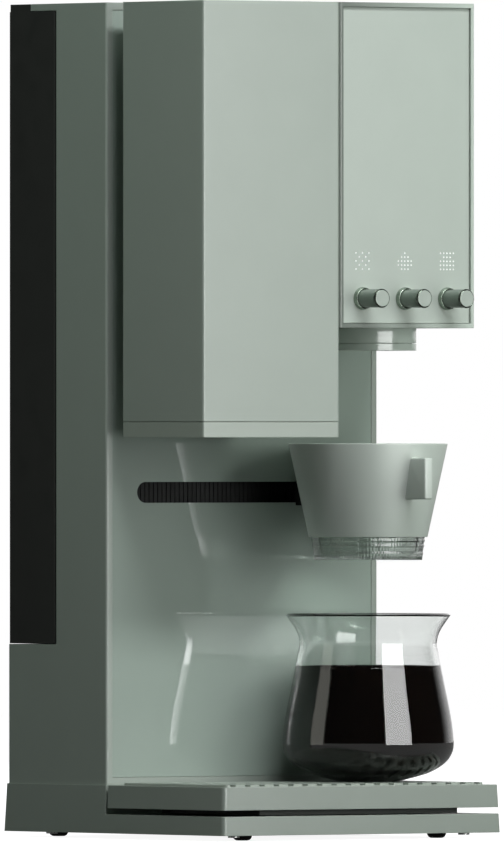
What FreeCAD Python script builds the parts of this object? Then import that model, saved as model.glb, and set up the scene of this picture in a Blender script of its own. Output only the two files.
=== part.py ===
import FreeCAD, Part
import math
import os

V = FreeCAD.Vector

# Driving dimensions in millimetres
# The front faces -Y, Z is up from the floor and X = 0 is the middle of the machine.
HEIGHT = 434.7
COLUMN_WIDTH = 177.1
COLUMN_DEPTH = 86.0
COLUMN_WALL = 2.4
COLUMN_CORNER = 1.2
FRONT_FRAME = 5.0
PANEL_BORDER = 3.9
PANEL_SEAM = 0.2
PANEL_RECESS = 0.3
PANEL_THICKNESS = 2.5
PANEL_LIP = 3.0

FOOT_RADIUS = 5.0
FOOT_HEIGHT = 2.8
FOOT_ROUND_SHARE = 0.9
FOOT_SPACING_X = 126.6
FOOT_FRONT_INSET = 18.9
FOOT_REAR = 75.8
PLATE_THICKNESS = 9.9
SCALE_GAP = 3.2
PLATFORM_THICKNESS = 11.9
PLATFORM_OVERHANG = 19.0
PLATFORM_BACK = 3.0
REAR_BLOCK_FRONT = 0.9
FLARE_TOP = 1.0
FLARE_LOW = 2.0
BASE_CORNER = 2.0
BASE_WALL = 3.0
BASE_SKIN = 2.2
COVER_THICKNESS = 2.0
SCREW_RADIUS = 1.5
SCREW_HEAD_RADIUS = 3.0
SCREW_HEAD_HEIGHT = 1.2
SCREW_DRIVE_RADIUS = 1.0
SCREW_TIP_ROOM = 1.0
SCREW_SPACING_X = 150.0
SCREW_FRONT = 92.0
SCREW_REAR = 66.0
BOSS_RADIUS = 4.5

PEDESTAL_WIDTH = 128.8
PEDESTAL_INSET = 2.6
PEDESTAL_BACK = 16.0
PEDESTAL_FLOAT = 0.5
CELL_WIDTH = 12.7
CELL_LENGTH = 75.0
CELL_HEIGHT = 5.0
CELL_FRONT = 62.0
CELL_PAD = 12.0
CELL_BORE_SHARE = 0.36
CELL_BORE_SPACING = 12.0
STEM_ROOM = 2.0
CABLE_WAY_WIDTH = 80.0
CABLE_WAY_FRONT = 14.0
CABLE_WAY_DEPTH = 20.0

GRILLE_INSET = 5.2
GRILLE_PROUD = 1.2
GRILLE_THICKNESS = 2.6
GRILLE_LEDGE = 2.2
GRILLE_PITCH = 9.34
GRILLE_SLOT_WIDTH = 3.6
GRILLE_BRIDGE = 3.0
GRILLE_NOTCH_DEPTH = 0.9
GRILLE_ROWS = 6
TRAY_FLOOR = 2.4

MODULE_GAP = 13.8
MODULE_SEAM = 0.3
MODULE_WALL = 2.4
GRINDER_BOTTOM = 208.6
GRINDER_CAP_HEIGHT = 8.2
CAP_SEAM = 0.3
CAP_RIM_HEIGHT = 3.0
CAP_RIM_WALL = 1.4
HEAD_BOTTOM = 265.5
NECK_WIDTH = 90.0
NECK_BOTTOM = 272.0
NECK_TOP = 424.0
NECK_WALL = 3.5
EXIT_RISE = 20.0
NECK_PASSAGES_X = 3
NECK_PASSAGES_Z = 4

LID_THICKNESS = 4.0
LID_RIM = 6.0
LID_GAP = 0.3
LID_LEDGE = 1.5
LID_PIN_RADIUS = 1.0
LID_PIN_LENGTH = 2.6
PIN_END_GAP = 0.4
FINGER_DEPTH = 2.5
FINGER_LOW_RADIUS = 3.0
FINGER_TOP_RADIUS = 4.5

# Clearances, and how far a cutting block runs past what it cuts
RUNNING_GAP = 0.05
FIT_GAP = 0.2
TOUCH_GAP = 0.3
OVERRUN = 1.0

BREW_X = 45.25
GRIND_X = -44.35
BREW_CLEARANCE = 7.2

HOPPER_WALL = 2.0
HOPPER_SPREAD = 1.0
HOPPER_UPRIGHT = 60.0
HOPPER_NECK_TOP = 318.0
HOPPER_NECK_RADIUS = 13.0
BURR_TOP = 300.0
BURR_FLOOR = 262.0
BURR_CUP_RADIUS = 22.0
BURR_CUP_WALL = 2.2
EAR_WIDTH = 12.0
EAR_HEIGHT = 4.0
EXIT_HALF = 8.0
OUTER_BURR_BOTTOM = 268.0
OUTER_BURR_TOP = 288.0
INNER_BURR_LOW_RADIUS = 13.2
INNER_BURR_TOP_RADIUS = 7.0
BURR_GROOVES = 9
BURR_GROOVE_WIDTH = 1.4
BURR_GROOVE_START = 8.2
GRIND_GAP = 0.8
FEED_GAP = 3.8
MOTOR_RADIUS = 19.0
MOTOR_BOTTOM = 236.5
MOTOR_TOP = 258.0
MOTOR_FLOOR = 3.0
MOTOR_POST_RADIUS = 2.5
MOTOR_POST_INSET = 4.0
SHAFT_RADIUS = 3.0
SHAFT_COLLAR_RADIUS = 5.0
SHAFT_NUT_HEIGHT = 4.0
CHUTE_DEPTH = 9.6
CHUTE_WALL = 1.4
CHUTE_RISE = 6.0
CHUTE_SLANT = 2.0
CHUTE_CLEARANCE = 2.5
CHUTE_HALF = 6.2
OUTLET_REACH = 10.0

HEAD_RECESS = 1.5
CONTROL_THICKNESS = 3.0
HEAD_INNER_WALL = 3.8
KNOB_FIRST = 16.1
KNOB_PITCH = 27.65
KNOB_Z = 280.8
KNOB_RADIUS = 4.95
KNOB_REACH = 15.8
KNOB_TRAVEL = 1.0
KNOB_BORE_DEPTH = 13.0
COLLAR_RADIUS = 5.95
COLLAR_TIP_RADIUS = 5.45
COLLAR_LENGTH = 2.6
COLLAR_GAP = 0.15
COLLAR_FLOOR = 0.8
KNOB_CAP = 1.6
KNOB_WAIST = 0.25
KNOB_ROUNDING = 0.4
SPINDLE_RADIUS = 1.5
SPINDLE_ROOM = 1.0
BUSH_WALL = 1.6
ENCODER_SIZE = 12.0
ENCODER_DEPTH = 6.5
BOARD_THICKNESS = 1.6
BOARD_SPACE = 3.0
BOARD_BELOW = 8.0
BOARD_ABOVE = 46.0
LIGHT_RADIUS = 0.45
LIGHT_PITCH = 2.1
LIGHT_Z = 300.3
LIGHT_PLATE = 1.0

NOZZLE_RADIUS = 25.2
NOZZLE_BOTTOM = 253.8
NOZZLE_RING = 3.7
NOZZLE_WALL = 2.2
NOZZLE_SEAM = 0.2
NOZZLE_LIP = 2.0
FEED_SHARE = 0.6
ROTOR_RADIUS = 19.0
ROTOR_THICKNESS = 1.8
ROTOR_STEM_RADIUS = 3.0
ROTOR_RECESS = 0.8
ROTOR_HOLES = 12
ROTOR_HOLE_RADIUS = 0.8
ROTOR_RING_SHARES = (0.78, 0.45)
ROTOR_MOTOR_RADIUS = 10.0
ROTOR_MOTOR_HEIGHT = 20.0

SLOT_HALF = 68.4
SLOT_LOW = 174.5
SLOT_HIGH = 185.4
BELT_WIDTH = 15.0
BELT_THICKNESS = 1.2
BELT_RIB = 0.5
BELT_PITCH = 2.8
BELT_BEHIND = 5.6
ROLLER_RADIUS = 6.0
ROLLER_X = 71.4
AXLE_RADIUS = 2.0
AXLE_END = 3.0
TAB_GAP = 1.0
ROD_RADIUS = 3.0
ROD_CLEARANCE = 1.7
ROD_RISE = 9.0
CARRIAGE_HALF = 12.0
CARRIAGE_PLATE = 1.8
CARRIAGE_BRIDGE = 2.4
FRAME_CLEARANCE = 2.1
FRAME_SHEET = 1.5
FRAME_RISE = 27.0
TAB_HALF = 12.0
BELT_MOTOR_RADIUS = 8.0
BELT_MOTOR_LENGTH = 26.0

ARM_HALF = 9.0
ARM_LOW = 175.2
ARM_HIGH = 184.7
SADDLE_HALF = 15.0
SADDLE_LOW = 173.0
SADDLE_HIGH = 186.0
SADDLE_BACK = 6.0

SLEEVE_TOP = 205.4
SLEEVE_BOTTOM = 156.6
SLEEVE_TOP_RADIUS = 41.6
SLEEVE_LOW_RADIUS = 31.0
SLEEVE_TOP_WALL = 2.2
SLEEVE_LOW_WALL = 0.8
FIN_WIDTH = 5.2
FIN_LOW = 176.3
FIN_HIGH = 197.9
FIN_REACH = 52.2
FIN_ROOT = 3.0
FIN_ROUNDING = 1.0
INSERT_BOTTOM = 144.6
INSERT_LOW_RADIUS = 28.4
INSERT_WALL = 1.6
INSERT_FLOOR = 2.0
INSERT_DROP = 2.0
DRIP_HOLES = 12
DRIP_HOLE_RADIUS = 2.0
DRIP_RING_SHARE = 0.55

CARAFE_RIM = 116.0
CARAFE_RIM_RADIUS = 43.1
CARAFE_WALL = 2.0
CARAFE_FOOT = 0.1
CARAFE_FOOT_RADIUS = 15.7
CARAFE_PROFILE = [
    (25.4, 2.5),
    (32.4, 4.8),
    (39.4, 9.0),
    (43.4, 14.0),
    (44.7, 20.5),
    (43.2, 34.2),
    (39.4, 52.9),
    (36.7, 66.8),
    (35.9, 72.4),
    (37.6, 78.6),
]
COFFEE_LEVEL = 89.5
COFFEE_GAP = 0.15

TANK_AHEAD_GAP = 0.3
HOSE_ROOM = 0.5
TANK_BOTTOM = 100.6
TANK_WALL = 2.2
TANK_CORNER = 2.0
TONGUE_LENGTH = 22.5
TONGUE_THICKNESS = 3.6
CHEEK_WIDTH = 4.4
MOUTH_LEDGE = 2.0
VALVE_X = 40.0
VALVE_Z = 116.5
VALVE_RADIUS = 6.0
VALVE_LENGTH = 12.0
VALVE_STEP = 1.0
VALVE_NUT = 3.0
DOCK_LENGTH = 15.0
DOCK_WALL = 2.0
GRIP_HALF = 36.0
GRIP_LOW = 330.0
GRIP_HEIGHT = 26.0
GRIP_DEPTH = 9.0
REAR_FLANGE = 6.0

INLET_X = 52.0
INLET_Z = 58.0
INLET_WIDTH = 30.0
INLET_HEIGHT = 23.0
INLET_DEPTH = 20.0
INLET_SOCKET_WIDTH = 24.4
INLET_SOCKET_HEIGHT = 16.6
INLET_SOCKET_DEPTH = 17.0
INLET_FLANGE = 1.2
INLET_LIP = 3.0
INLET_CHAMFER = 4.0
PIN_HALF_WIDTH = 1.0
PIN_HALF_HEIGHT = 2.0
PIN_SPACING = 7.0
PIN_RECESS = 2.0

HOSE_RADIUS = 3.0
HOSE_BORE = 1.8
HOSE_BEND = 8.0
BEND_SHARE = 0.45
HOSE_LANE = 9.0
HOSE_RISE = 12.0
CABLE_RADIUS = 2.0
CABLE_BEND = 6.0
CABLE_X = -30.0
CABLE_Z = 292.0

MAIN_BOARD_X0 = -38.0
MAIN_BOARD_X1 = 56.0
MAIN_BOARD_LOW = 230.0
MAIN_BOARD_HIGH = 390.0
# Chip, coil and socket: along, up, width, height on the board, and how far they stand off it
BOARD_BLOCKS = [(36.0, 90.0, 16.0, 16.0, 1.6), (60.0, 118.0, 22.0, 26.0, 16.0), (60.0, 14.0, 24.0, 8.0, 7.0)]
CAPACITORS = 3
CAPACITOR_ALONG = 20.0
CAPACITOR_UP = 140.0
CAPACITOR_PITCH = 13.0
CAPACITOR_RADIUS = 5.0
CAPACITOR_LENGTH = 10.0
PLUG_WIDTH = 10.0
PLUG_DEPTH = 3.0
BOARD_CLEARANCE = 0.3
BOARD_POST = 3.0
PSU_X0 = -82.0
PSU_X1 = -44.0
PSU_FRONT = 46.0
PSU_BACK = 80.0
PSU_TOP = 90.0
PSU_VENTS = 8
PSU_VENT_PITCH = 3.4
PSU_VENT_WIDTH = 1.4
PSU_EDGE = 6.0
PUMP_X0 = -25.0
PUMP_X1 = 28.0
PUMP_BEHIND = 60.0
PUMP_Z = 60.0
PUMP_RADIUS = 14.0
PUMP_NOZZLE = 4.0
PUMP_END_RADIUS = 4.5
CRADLE_INSET = 2.0
HEATER_X = -60.0
HEATER_WIDTH = 28.0
HEATER_FRONT = 8.0
HEATER_BACK = 30.0
HEATER_LOW = 228.0
HEATER_HIGH = 334.0
HEATER_FINS = 9
HEATER_FIN_PITCH = 10.0
HEATER_FIN_DEPTH = 2.0
LUG_INSET = 8.0
LUG_HEIGHT = 4.0

# Derived places
HALF_WIDTH = COLUMN_WIDTH / 2
BREW_AHEAD = SLEEVE_TOP_RADIUS + BREW_CLEARANCE
MODULE_FRONT = 2 * BREW_AHEAD - MODULE_GAP
PLATFORM_REACH = MODULE_FRONT + PLATFORM_OVERHANG
FOOT_FRONT = PLATFORM_REACH - FOOT_FRONT_INSET
PEDESTAL_FRONT = PLATFORM_REACH - PEDESTAL_INSET
KNOB_AHEAD = MODULE_FRONT + KNOB_REACH
PANEL_Y = (PLATFORM_REACH - FLARE_TOP - COLUMN_DEPTH) / 2
PLATE_TOP = FOOT_HEIGHT + PLATE_THICKNESS
PLATFORM_BOTTOM = PLATE_TOP + SCALE_GAP
BASE_TOP = PLATFORM_BOTTOM + PLATFORM_THICKNESS
INNER_HALF = HALF_WIDTH - COLUMN_WALL
BELT_Z = (SLOT_LOW + SLOT_HIGH) / 2
EXIT_TOP = OUTER_BURR_BOTTOM - 2 * FIT_GAP
LOOP_BEHIND = BELT_BEHIND + BELT_THICKNESS + BELT_RIB + ROLLER_RADIUS
BELT_BACK = LOOP_BEHIND + ROLLER_RADIUS + TOUCH_GAP + BELT_THICKNESS
ROD_BEHIND = BELT_BACK + ROD_CLEARANCE + ROD_RADIUS
FRAME_BEHIND = ROD_BEHIND + ROD_RADIUS + FRAME_CLEARANCE
BOARD_BEHIND = FRAME_BEHIND + FRAME_SHEET + BOARD_CLEARANCE
HOSE_BACK = FRAME_BEHIND + FRAME_SHEET + TOUCH_GAP + 2 * HOSE_RADIUS
TANK_FRONT = HOSE_BACK + HOSE_ROOM + 2 * COLUMN_WALL


def ahead(distance):
    """Y of a plane this far in front of the column's face."""
    return PANEL_Y - distance


def behind(distance):
    """Y of a plane this far behind the column's face."""
    return PANEL_Y + distance


BREW_Y = ahead(BREW_AHEAD)
FEED_Y = BREW_Y + FEED_SHARE * NOZZLE_RADIUS


def box(x0, x1, y0, y1, z0, z1):
    """A block between two corners, given in any order along Y."""
    low = min(y0, y1)
    return Part.makeBox(x1 - x0, abs(y1 - y0), z1 - z0, V(x0, low, z0))


def block_about(x, y, half_x, half_y, z0, z1):
    """An upright block about an axis."""
    return box(x - half_x, x + half_x, y - half_y, y + half_y, z0, z1)


def post(x, y, z0, z1, radius):
    """An upright cylinder."""
    return Part.makeCylinder(radius, z1 - z0, V(x, y, z0))


def bar_y(x, z, y0, y1, radius):
    """A cylinder along Y."""
    return Part.makeCylinder(radius, abs(y1 - y0), V(x, min(y0, y1), z), V(0, 1, 0))


def bar_x(y, z, x0, x1, radius):
    """A cylinder along X."""
    return Part.makeCylinder(radius, x1 - x0, V(x0, y, z), V(1, 0, 0))


def taper(x, y, z0, r0, z1, r1):
    """An upright cone frustum."""
    return Part.makeCone(r0, r1, z1 - z0, V(x, y, z0))


def rounded_outline(x0, x1, y0, y1, z, radius):
    """A level rectangle with round corners, as a wire."""
    half = radius * (1 - math.sqrt(0.5))
    lines = [
        Part.LineSegment(V(x0 + radius, y0, z), V(x1 - radius, y0, z)),
        Part.Arc(V(x1 - radius, y0, z), V(x1 - half, y0 + half, z), V(x1, y0 + radius, z)),
        Part.LineSegment(V(x1, y0 + radius, z), V(x1, y1 - radius, z)),
        Part.Arc(V(x1, y1 - radius, z), V(x1 - half, y1 - half, z), V(x1 - radius, y1, z)),
        Part.LineSegment(V(x1 - radius, y1, z), V(x0 + radius, y1, z)),
        Part.Arc(V(x0 + radius, y1, z), V(x0 + half, y1 - half, z), V(x0, y1 - radius, z)),
        Part.LineSegment(V(x0, y1 - radius, z), V(x0, y0 + radius, z)),
        Part.Arc(V(x0, y0 + radius, z), V(x0 + half, y0 + half, z), V(x0 + radius, y0, z)),
    ]
    return Part.Wire([line.toShape() for line in lines])


def rounded_block(x0, x1, y0, y1, z0, z1, radius):
    """A block whose four upright edges are round."""
    outline = rounded_outline(x0, x1, min(y0, y1), max(y0, y1), z0, radius)
    return Part.Face(outline).extrude(V(0, 0, z1 - z0))


def prism_x(points, x0, x1):
    """A solid along X from corners given as (y, z)."""
    corners = [V(x0, y, z) for y, z in points]
    outline = Part.makePolygon(corners + corners[:1])
    return Part.Face(outline).extrude(V(x1 - x0, 0, 0))


def join(shapes):
    """One solid from several that touch or overlap."""
    first = shapes[0]
    return first.fuse(shapes[1:]).removeSplitter() if len(shapes) > 1 else first


def cut(shape, tools):
    """The shape with each tool taken out of it."""
    return shape.cut(tools) if tools else shape


def group(shapes):
    """Separate solids kept together in one node."""
    return Part.makeCompound(shapes)


def at_corners(xs, ys):
    """The places where each x meets each y."""
    return [(x, y) for x in xs for y in ys]


# Base, scale and drip tray
def base_envelope():
    """The flared block that the base, rear block and platform are cut from."""
    outlines = []
    for z, flare in ((FOOT_HEIGHT, FLARE_LOW), (BASE_TOP, FLARE_TOP)):
        half = HALF_WIDTH + flare
        front = ahead(PLATFORM_REACH + flare - FLARE_TOP)
        back = behind(COLUMN_DEPTH + flare)
        outlines.append(rounded_outline(-half, half, front, back, z, BASE_CORNER))
    return Part.makeLoft(outlines, True, True)


def inset_bounds(inset):
    """The base's footprint, moved inwards from its top outline."""
    half = HALF_WIDTH + FLARE_TOP - inset
    return -half, half, ahead(PLATFORM_REACH - inset), behind(COLUMN_DEPTH + FLARE_TOP - inset)


def screw_places():
    """Where the bottom cover is screwed to the base."""
    half = SCREW_SPACING_X / 2
    return at_corners((-half, half), (ahead(SCREW_FRONT), behind(SCREW_REAR)))


def foot_places():
    """Where the four feet stand."""
    half = FOOT_SPACING_X / 2
    return at_corners((-half, half), (ahead(FOOT_FRONT), behind(FOOT_REAR)))


def base_plate():
    """Hollow lower plate with the raised block under the column."""
    wide = 2 * HALF_WIDTH
    low = box(-wide, wide, ahead(wide), behind(wide), FOOT_HEIGHT, PLATE_TOP)
    high = box(-wide, wide, ahead(REAR_BLOCK_FRONT), behind(wide), FOOT_HEIGHT, BASE_TOP)
    body = base_envelope().common(low.fuse(high))
    x0, x1, y0, y1 = inset_bounds(BASE_WALL)
    hollow = box(x0, x1, y0, y1, FOOT_HEIGHT, PLATE_TOP - BASE_SKIN)
    block_front = ahead(REAR_BLOCK_FRONT) + BASE_WALL
    hollow_block = box(x0, x1, block_front, y1, FOOT_HEIGHT, BASE_TOP - BASE_SKIN)
    body = cut(body, [hollow, hollow_block])
    bosses = []
    holes = []
    for x, y in screw_places():
        top = PLATE_TOP if y < PANEL_Y else BASE_TOP
        bosses.append(post(x, y, FOOT_HEIGHT + COVER_THICKNESS, top - BASE_SKIN / 2, BOSS_RADIUS))
        holes.append(post(x, y, FOOT_HEIGHT, PLATE_TOP - BASE_SKIN, SCREW_RADIUS + FIT_GAP))
    body = cut(join([body] + bosses), holes)
    stem = CELL_PAD / 2 + STEM_ROOM
    stem_front = ahead(CELL_FRONT + STEM_ROOM)
    stem_back = ahead(CELL_FRONT - CELL_PAD - STEM_ROOM)
    stem_hole = box(-stem, stem, stem_front, stem_back, FOOT_HEIGHT, BASE_TOP)
    half_way = CABLE_WAY_WIDTH / 2
    way_back = CABLE_WAY_FRONT + CABLE_WAY_DEPTH
    way_low = BASE_TOP - 2 * BASE_SKIN
    cable_way = box(-half_way, half_way, behind(CABLE_WAY_FRONT), behind(way_back), way_low, BASE_TOP)
    return cut(body, [stem_hole, cable_way])


def bottom_cover():
    """Cover under the base, which carries the feet and the load cell."""
    x0, x1, y0, y1 = inset_bounds(BASE_WALL + FIT_GAP)
    plate = box(x0, x1, y0, y1, FOOT_HEIGHT, FOOT_HEIGHT + COVER_THICKNESS)
    back = ahead(CELL_FRONT - CELL_LENGTH)
    top = FOOT_HEIGHT + COVER_THICKNESS
    pad = box(-CELL_WIDTH / 2, CELL_WIDTH / 2, back - CELL_PAD, back, top, top + PEDESTAL_FLOAT)
    holes = [post(x, y, 0, top, SCREW_RADIUS + FIT_GAP) for x, y in screw_places()]
    return cut(join([plate, pad]), holes)


def feet():
    """Four rubber feet with a rounded lower edge."""
    edge = FOOT_HEIGHT / 2
    solids = []
    for x, y in foot_places():
        foot = post(x, y, 0, FOOT_HEIGHT, FOOT_RADIUS)
        low = [e for e in foot.Edges if e.BoundBox.ZMax < edge]
        solids.append(foot.makeFillet(edge * FOOT_ROUND_SHARE, low))
    return group(solids)


def base_screws():
    """The screws that hold the bottom cover."""
    solids = []
    for x, y in screw_places():
        low = FOOT_HEIGHT - SCREW_HEAD_HEIGHT
        drive_top = low + SCREW_HEAD_HEIGHT / 2
        head = post(x, y, low, FOOT_HEIGHT, SCREW_HEAD_RADIUS)
        shank = post(x, y, low, PLATE_TOP - BASE_SKIN - SCREW_TIP_ROOM, SCREW_RADIUS)
        drive = post(x, y, low, drive_top, SCREW_DRIVE_RADIUS)
        solids.append(cut(join([head, shank]), [drive]))
    return group(solids)


def load_cell():
    """Bending bar that weighs what stands on the platform."""
    low = FOOT_HEIGHT + COVER_THICKNESS + PEDESTAL_FLOAT
    half = CELL_WIDTH / 2
    front = ahead(CELL_FRONT)
    bar = box(-half, half, front, front + CELL_LENGTH, low, low + CELL_HEIGHT)
    middle = front + CELL_LENGTH / 2
    offset = CELL_BORE_SPACING / 2
    radius = CELL_HEIGHT * CELL_BORE_SHARE
    bores = [bar_x(y, low + CELL_HEIGHT / 2, -half, half, radius) for y in (middle - offset, middle + offset)]
    return cut(bar, bores)


def scale_pedestal():
    """Plate on the load cell that fills the gap under the platform."""
    half = PEDESTAL_WIDTH / 2
    front, back = ahead(PEDESTAL_FRONT), ahead(PEDESTAL_BACK)
    plate = box(-half, half, front, back, PLATE_TOP + PEDESTAL_FLOAT, PLATFORM_BOTTOM)
    low = FOOT_HEIGHT + COVER_THICKNESS + PEDESTAL_FLOAT + CELL_HEIGHT
    stem_half = CELL_PAD / 2
    stem = box(-stem_half, stem_half, ahead(CELL_FRONT), ahead(CELL_FRONT - CELL_PAD), low, PLATFORM_BOTTOM)
    return join([plate, stem])


def grille_bounds(gap):
    """The grille's footprint in the platform, with a gap all round."""
    half = HALF_WIDTH + FLARE_TOP - GRILLE_INSET - gap
    return -half, half, ahead(PLATFORM_REACH - GRILLE_INSET - gap), ahead(PLATFORM_BACK + GRILLE_INSET + gap)


def scale_platform():
    """Platform that floats over the base and holds the drips."""
    wide = 2 * HALF_WIDTH
    slab = box(-wide, wide, ahead(wide), ahead(PLATFORM_BACK), PLATFORM_BOTTOM, BASE_TOP)
    body = base_envelope().common(slab)
    x0, x1, y0, y1 = grille_bounds(0)
    seat = BASE_TOP + GRILLE_PROUD - GRILLE_THICKNESS
    well = rounded_block(x0, x1, y0, y1, seat, BASE_TOP, BASE_CORNER)
    x0, x1, y0, y1 = grille_bounds(GRILLE_LEDGE)
    tray = rounded_block(x0, x1, y0, y1, PLATFORM_BOTTOM + TRAY_FLOOR, seat, BASE_CORNER)
    return cut(body, [well, tray])


def drip_grille():
    """Slotted plate that the carafe stands on."""
    x0, x1, y0, y1 = grille_bounds(FIT_GAP)
    top = BASE_TOP + GRILLE_PROUD
    low = top - GRILLE_THICKNESS
    plate = rounded_block(x0, x1, y0, y1, low, top, BASE_CORNER)
    columns = int((x1 - x0) / GRILLE_PITCH)
    row_step = (y1 - y0 - GRILLE_BRIDGE) / GRILLE_ROWS
    slot_half = GRILLE_SLOT_WIDTH / 2
    tools = []
    for column in range(columns):
        x = (column - (columns - 1) / 2) * GRILLE_PITCH
        notch = box(x - slot_half, x + slot_half, y0, y0 + GRILLE_BRIDGE, top - GRILLE_NOTCH_DEPTH, top)
        tools.append(notch)
        for row in range(GRILLE_ROWS):
            front = y0 + GRILLE_BRIDGE + row * row_step
            back = front + row_step - GRILLE_BRIDGE
            tools.append(box(x - slot_half, x + slot_half, front, back, low, top))
    return cut(plate, tools)


# Column
def column_shell():
    """Housing with sides, roof, roof tongue and the bay for the tank."""
    inner = INNER_HALF
    roof = HEIGHT - TONGUE_THICKNESS
    back = behind(COLUMN_DEPTH)
    body = rounded_block(-HALF_WIDTH, HALF_WIDTH, PANEL_Y, back, BASE_TOP, HEIGHT, COLUMN_CORNER)
    flange = TANK_FRONT - 2 * COLUMN_WALL
    front_bay = box(-inner, inner, behind(FRONT_FRAME), behind(flange), BASE_TOP, roof)
    low_front = behind(flange) - OVERRUN
    low_bay_top = TANK_BOTTOM - COLUMN_WALL
    low_bay = box(-inner, inner, low_front, behind(COLUMN_DEPTH - COLUMN_WALL), BASE_TOP, low_bay_top)
    half = inner - REAR_FLANGE
    low_edge, high_edge = TANK_BOTTOM + REAR_FLANGE, roof - REAR_FLANGE
    rear_window = box(-half, half, low_front, behind(TANK_FRONT), low_edge, high_edge)
    cover_seat = box(-inner, inner, behind(TANK_FRONT - COLUMN_WALL), behind(TANK_FRONT), TANK_BOTTOM, roof)
    wide = HALF_WIDTH + OVERRUN
    past_back = behind(COLUMN_DEPTH + OVERRUN)
    tank_bay = box(-wide, wide, behind(TANK_FRONT), past_back, TANK_BOTTOM, roof)
    tongue_end = behind(TANK_FRONT + TONGUE_LENGTH)
    above_tank = box(-wide, wide, tongue_end, past_back, TANK_BOTTOM, HEIGHT)
    low = BASE_TOP + PANEL_BORDER
    high = HEIGHT - PANEL_BORDER
    edge = HALF_WIDTH - PANEL_BORDER
    rebate_depth = PANEL_RECESS + PANEL_THICKNESS
    rebate = box(-edge, edge, PANEL_Y, behind(rebate_depth), low, high)
    lip = PANEL_LIP
    window = box(-edge + lip, edge - lip, PANEL_Y, behind(FRONT_FRAME), low + lip, high - lip)
    tools = [front_bay, low_bay, rear_window, cover_seat, tank_bay, above_tank, rebate, window]
    tools.append(inlet_cutout())
    return cut(body, tools)


def back_panel():
    """Glossy inset panel behind the cups, with the slot for the arm."""
    edge = HALF_WIDTH - PANEL_BORDER - PANEL_SEAM
    low = BASE_TOP + PANEL_BORDER + PANEL_SEAM
    high = HEIGHT - PANEL_BORDER - PANEL_SEAM
    front = behind(PANEL_RECESS)
    back = behind(PANEL_RECESS + PANEL_THICKNESS)
    panel = box(-edge, edge, front, back, low, high)
    radius = (SLOT_HIGH - SLOT_LOW) / 2
    straight = SLOT_HALF - radius
    tools = [box(-straight, straight, front, back, SLOT_LOW, SLOT_HIGH)]
    for x in (-straight, straight):
        tools.append(bar_y(x, BELT_Z, front, back, radius))
    for x, z in hose_exits():
        tools.append(bar_y(x, z, front, back, HOSE_RADIUS + FIT_GAP))
    return cut(panel, tools)


def column_rear_cover():
    """Plate between the column's works and the tank, with the dock and the board's posts."""
    half = INNER_HALF - FIT_GAP
    roof = HEIGHT - TONGUE_THICKNESS
    front = behind(TANK_FRONT - COLUMN_WALL)
    plate = box(-half, half, front, behind(TANK_FRONT), TANK_BOTTOM + FIT_GAP, roof - FIT_GAP)
    posts = [bar_y(x, z, behind(BOARD_BEHIND + BOARD_THICKNESS), front, BOARD_POST) for x, z in board_posts()]
    return cut(join([plate, tank_dock()] + posts), dock_bores())


def tank_dock():
    """Socket moulded on the rear cover, which the tank's valve plugs into."""
    back = behind(TANK_FRONT - COLUMN_WALL)
    front = back - DOCK_LENGTH
    return join([
        bar_y(VALVE_X, VALVE_Z, front, back + OVERRUN, VALVE_RADIUS + DOCK_WALL),
        bar_y(VALVE_X, VALVE_Z, front - DOCK_WALL, front, HOSE_RADIUS + DOCK_WALL),
    ])


def dock_bores():
    """The dock's socket for the valve and its outlet to the hose."""
    back = behind(TANK_FRONT)
    front = behind(TANK_FRONT - COLUMN_WALL) - DOCK_LENGTH
    return [
        bar_y(VALVE_X, VALVE_Z, front + DOCK_WALL, back, VALVE_RADIUS + TOUCH_GAP),
        bar_y(VALVE_X, VALVE_Z, front - DOCK_WALL, front + DOCK_WALL, HOSE_BORE),
    ]


def inlet_cutout():
    """Window for the mains inlet in the column's back wall."""
    half = INLET_WIDTH / 2
    rise = INLET_HEIGHT / 2
    front = behind(COLUMN_DEPTH - 2 * COLUMN_WALL)
    return inlet_block(half, rise, front, behind(COLUMN_DEPTH))


def inlet_block(half, rise, y0, y1):
    """A block about the middle of the inlet."""
    return box(INLET_X - half, INLET_X + half, y0, y1, INLET_Z - rise, INLET_Z + rise)


def power_inlet():
    """Mains inlet with three flat pins in its socket."""
    half = INLET_WIDTH / 2 - FIT_GAP
    rise = INLET_HEIGHT / 2 - FIT_GAP
    back = behind(COLUMN_DEPTH)
    body = inlet_block(half, rise, back - INLET_DEPTH, back)
    inner = back - COLUMN_WALL - FIT_GAP
    flange = inlet_block(half + INLET_LIP, rise + INLET_LIP, inner - INLET_FLANGE, inner)
    half = INLET_SOCKET_WIDTH / 2
    rise = INLET_SOCKET_HEIGHT / 2
    floor = back - INLET_SOCKET_DEPTH
    socket = rounded_socket(half, rise, floor, back)
    places = ((-PIN_SPACING, -PIN_HALF_HEIGHT), (PIN_SPACING, -PIN_HALF_HEIGHT), (0, PIN_HALF_HEIGHT))
    pins = [pin(INLET_X + dx, INLET_Z + dz, floor, back - PIN_RECESS) for dx, dz in places]
    return join([cut(join([body, flange]), [socket])] + pins)


def rounded_socket(half, rise, floor, back):
    """The hollow of the inlet, with its two upper corners cut."""
    chamfer = INLET_CHAMFER
    corners = [
        V(INLET_X - half, floor, INLET_Z - rise),
        V(INLET_X + half, floor, INLET_Z - rise),
        V(INLET_X + half, floor, INLET_Z + rise - chamfer),
        V(INLET_X + half - chamfer, floor, INLET_Z + rise),
        V(INLET_X - half + chamfer, floor, INLET_Z + rise),
        V(INLET_X - half, floor, INLET_Z + rise - chamfer),
    ]
    return Part.Face(Part.makePolygon(corners + corners[:1])).extrude(V(0, back - floor, 0))


def pin(x, z, y0, y1):
    """One flat pin of the inlet."""
    return box(x - PIN_HALF_WIDTH, x + PIN_HALF_WIDTH, y0, y1, z - PIN_HALF_HEIGHT, z + PIN_HALF_HEIGHT)


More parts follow.
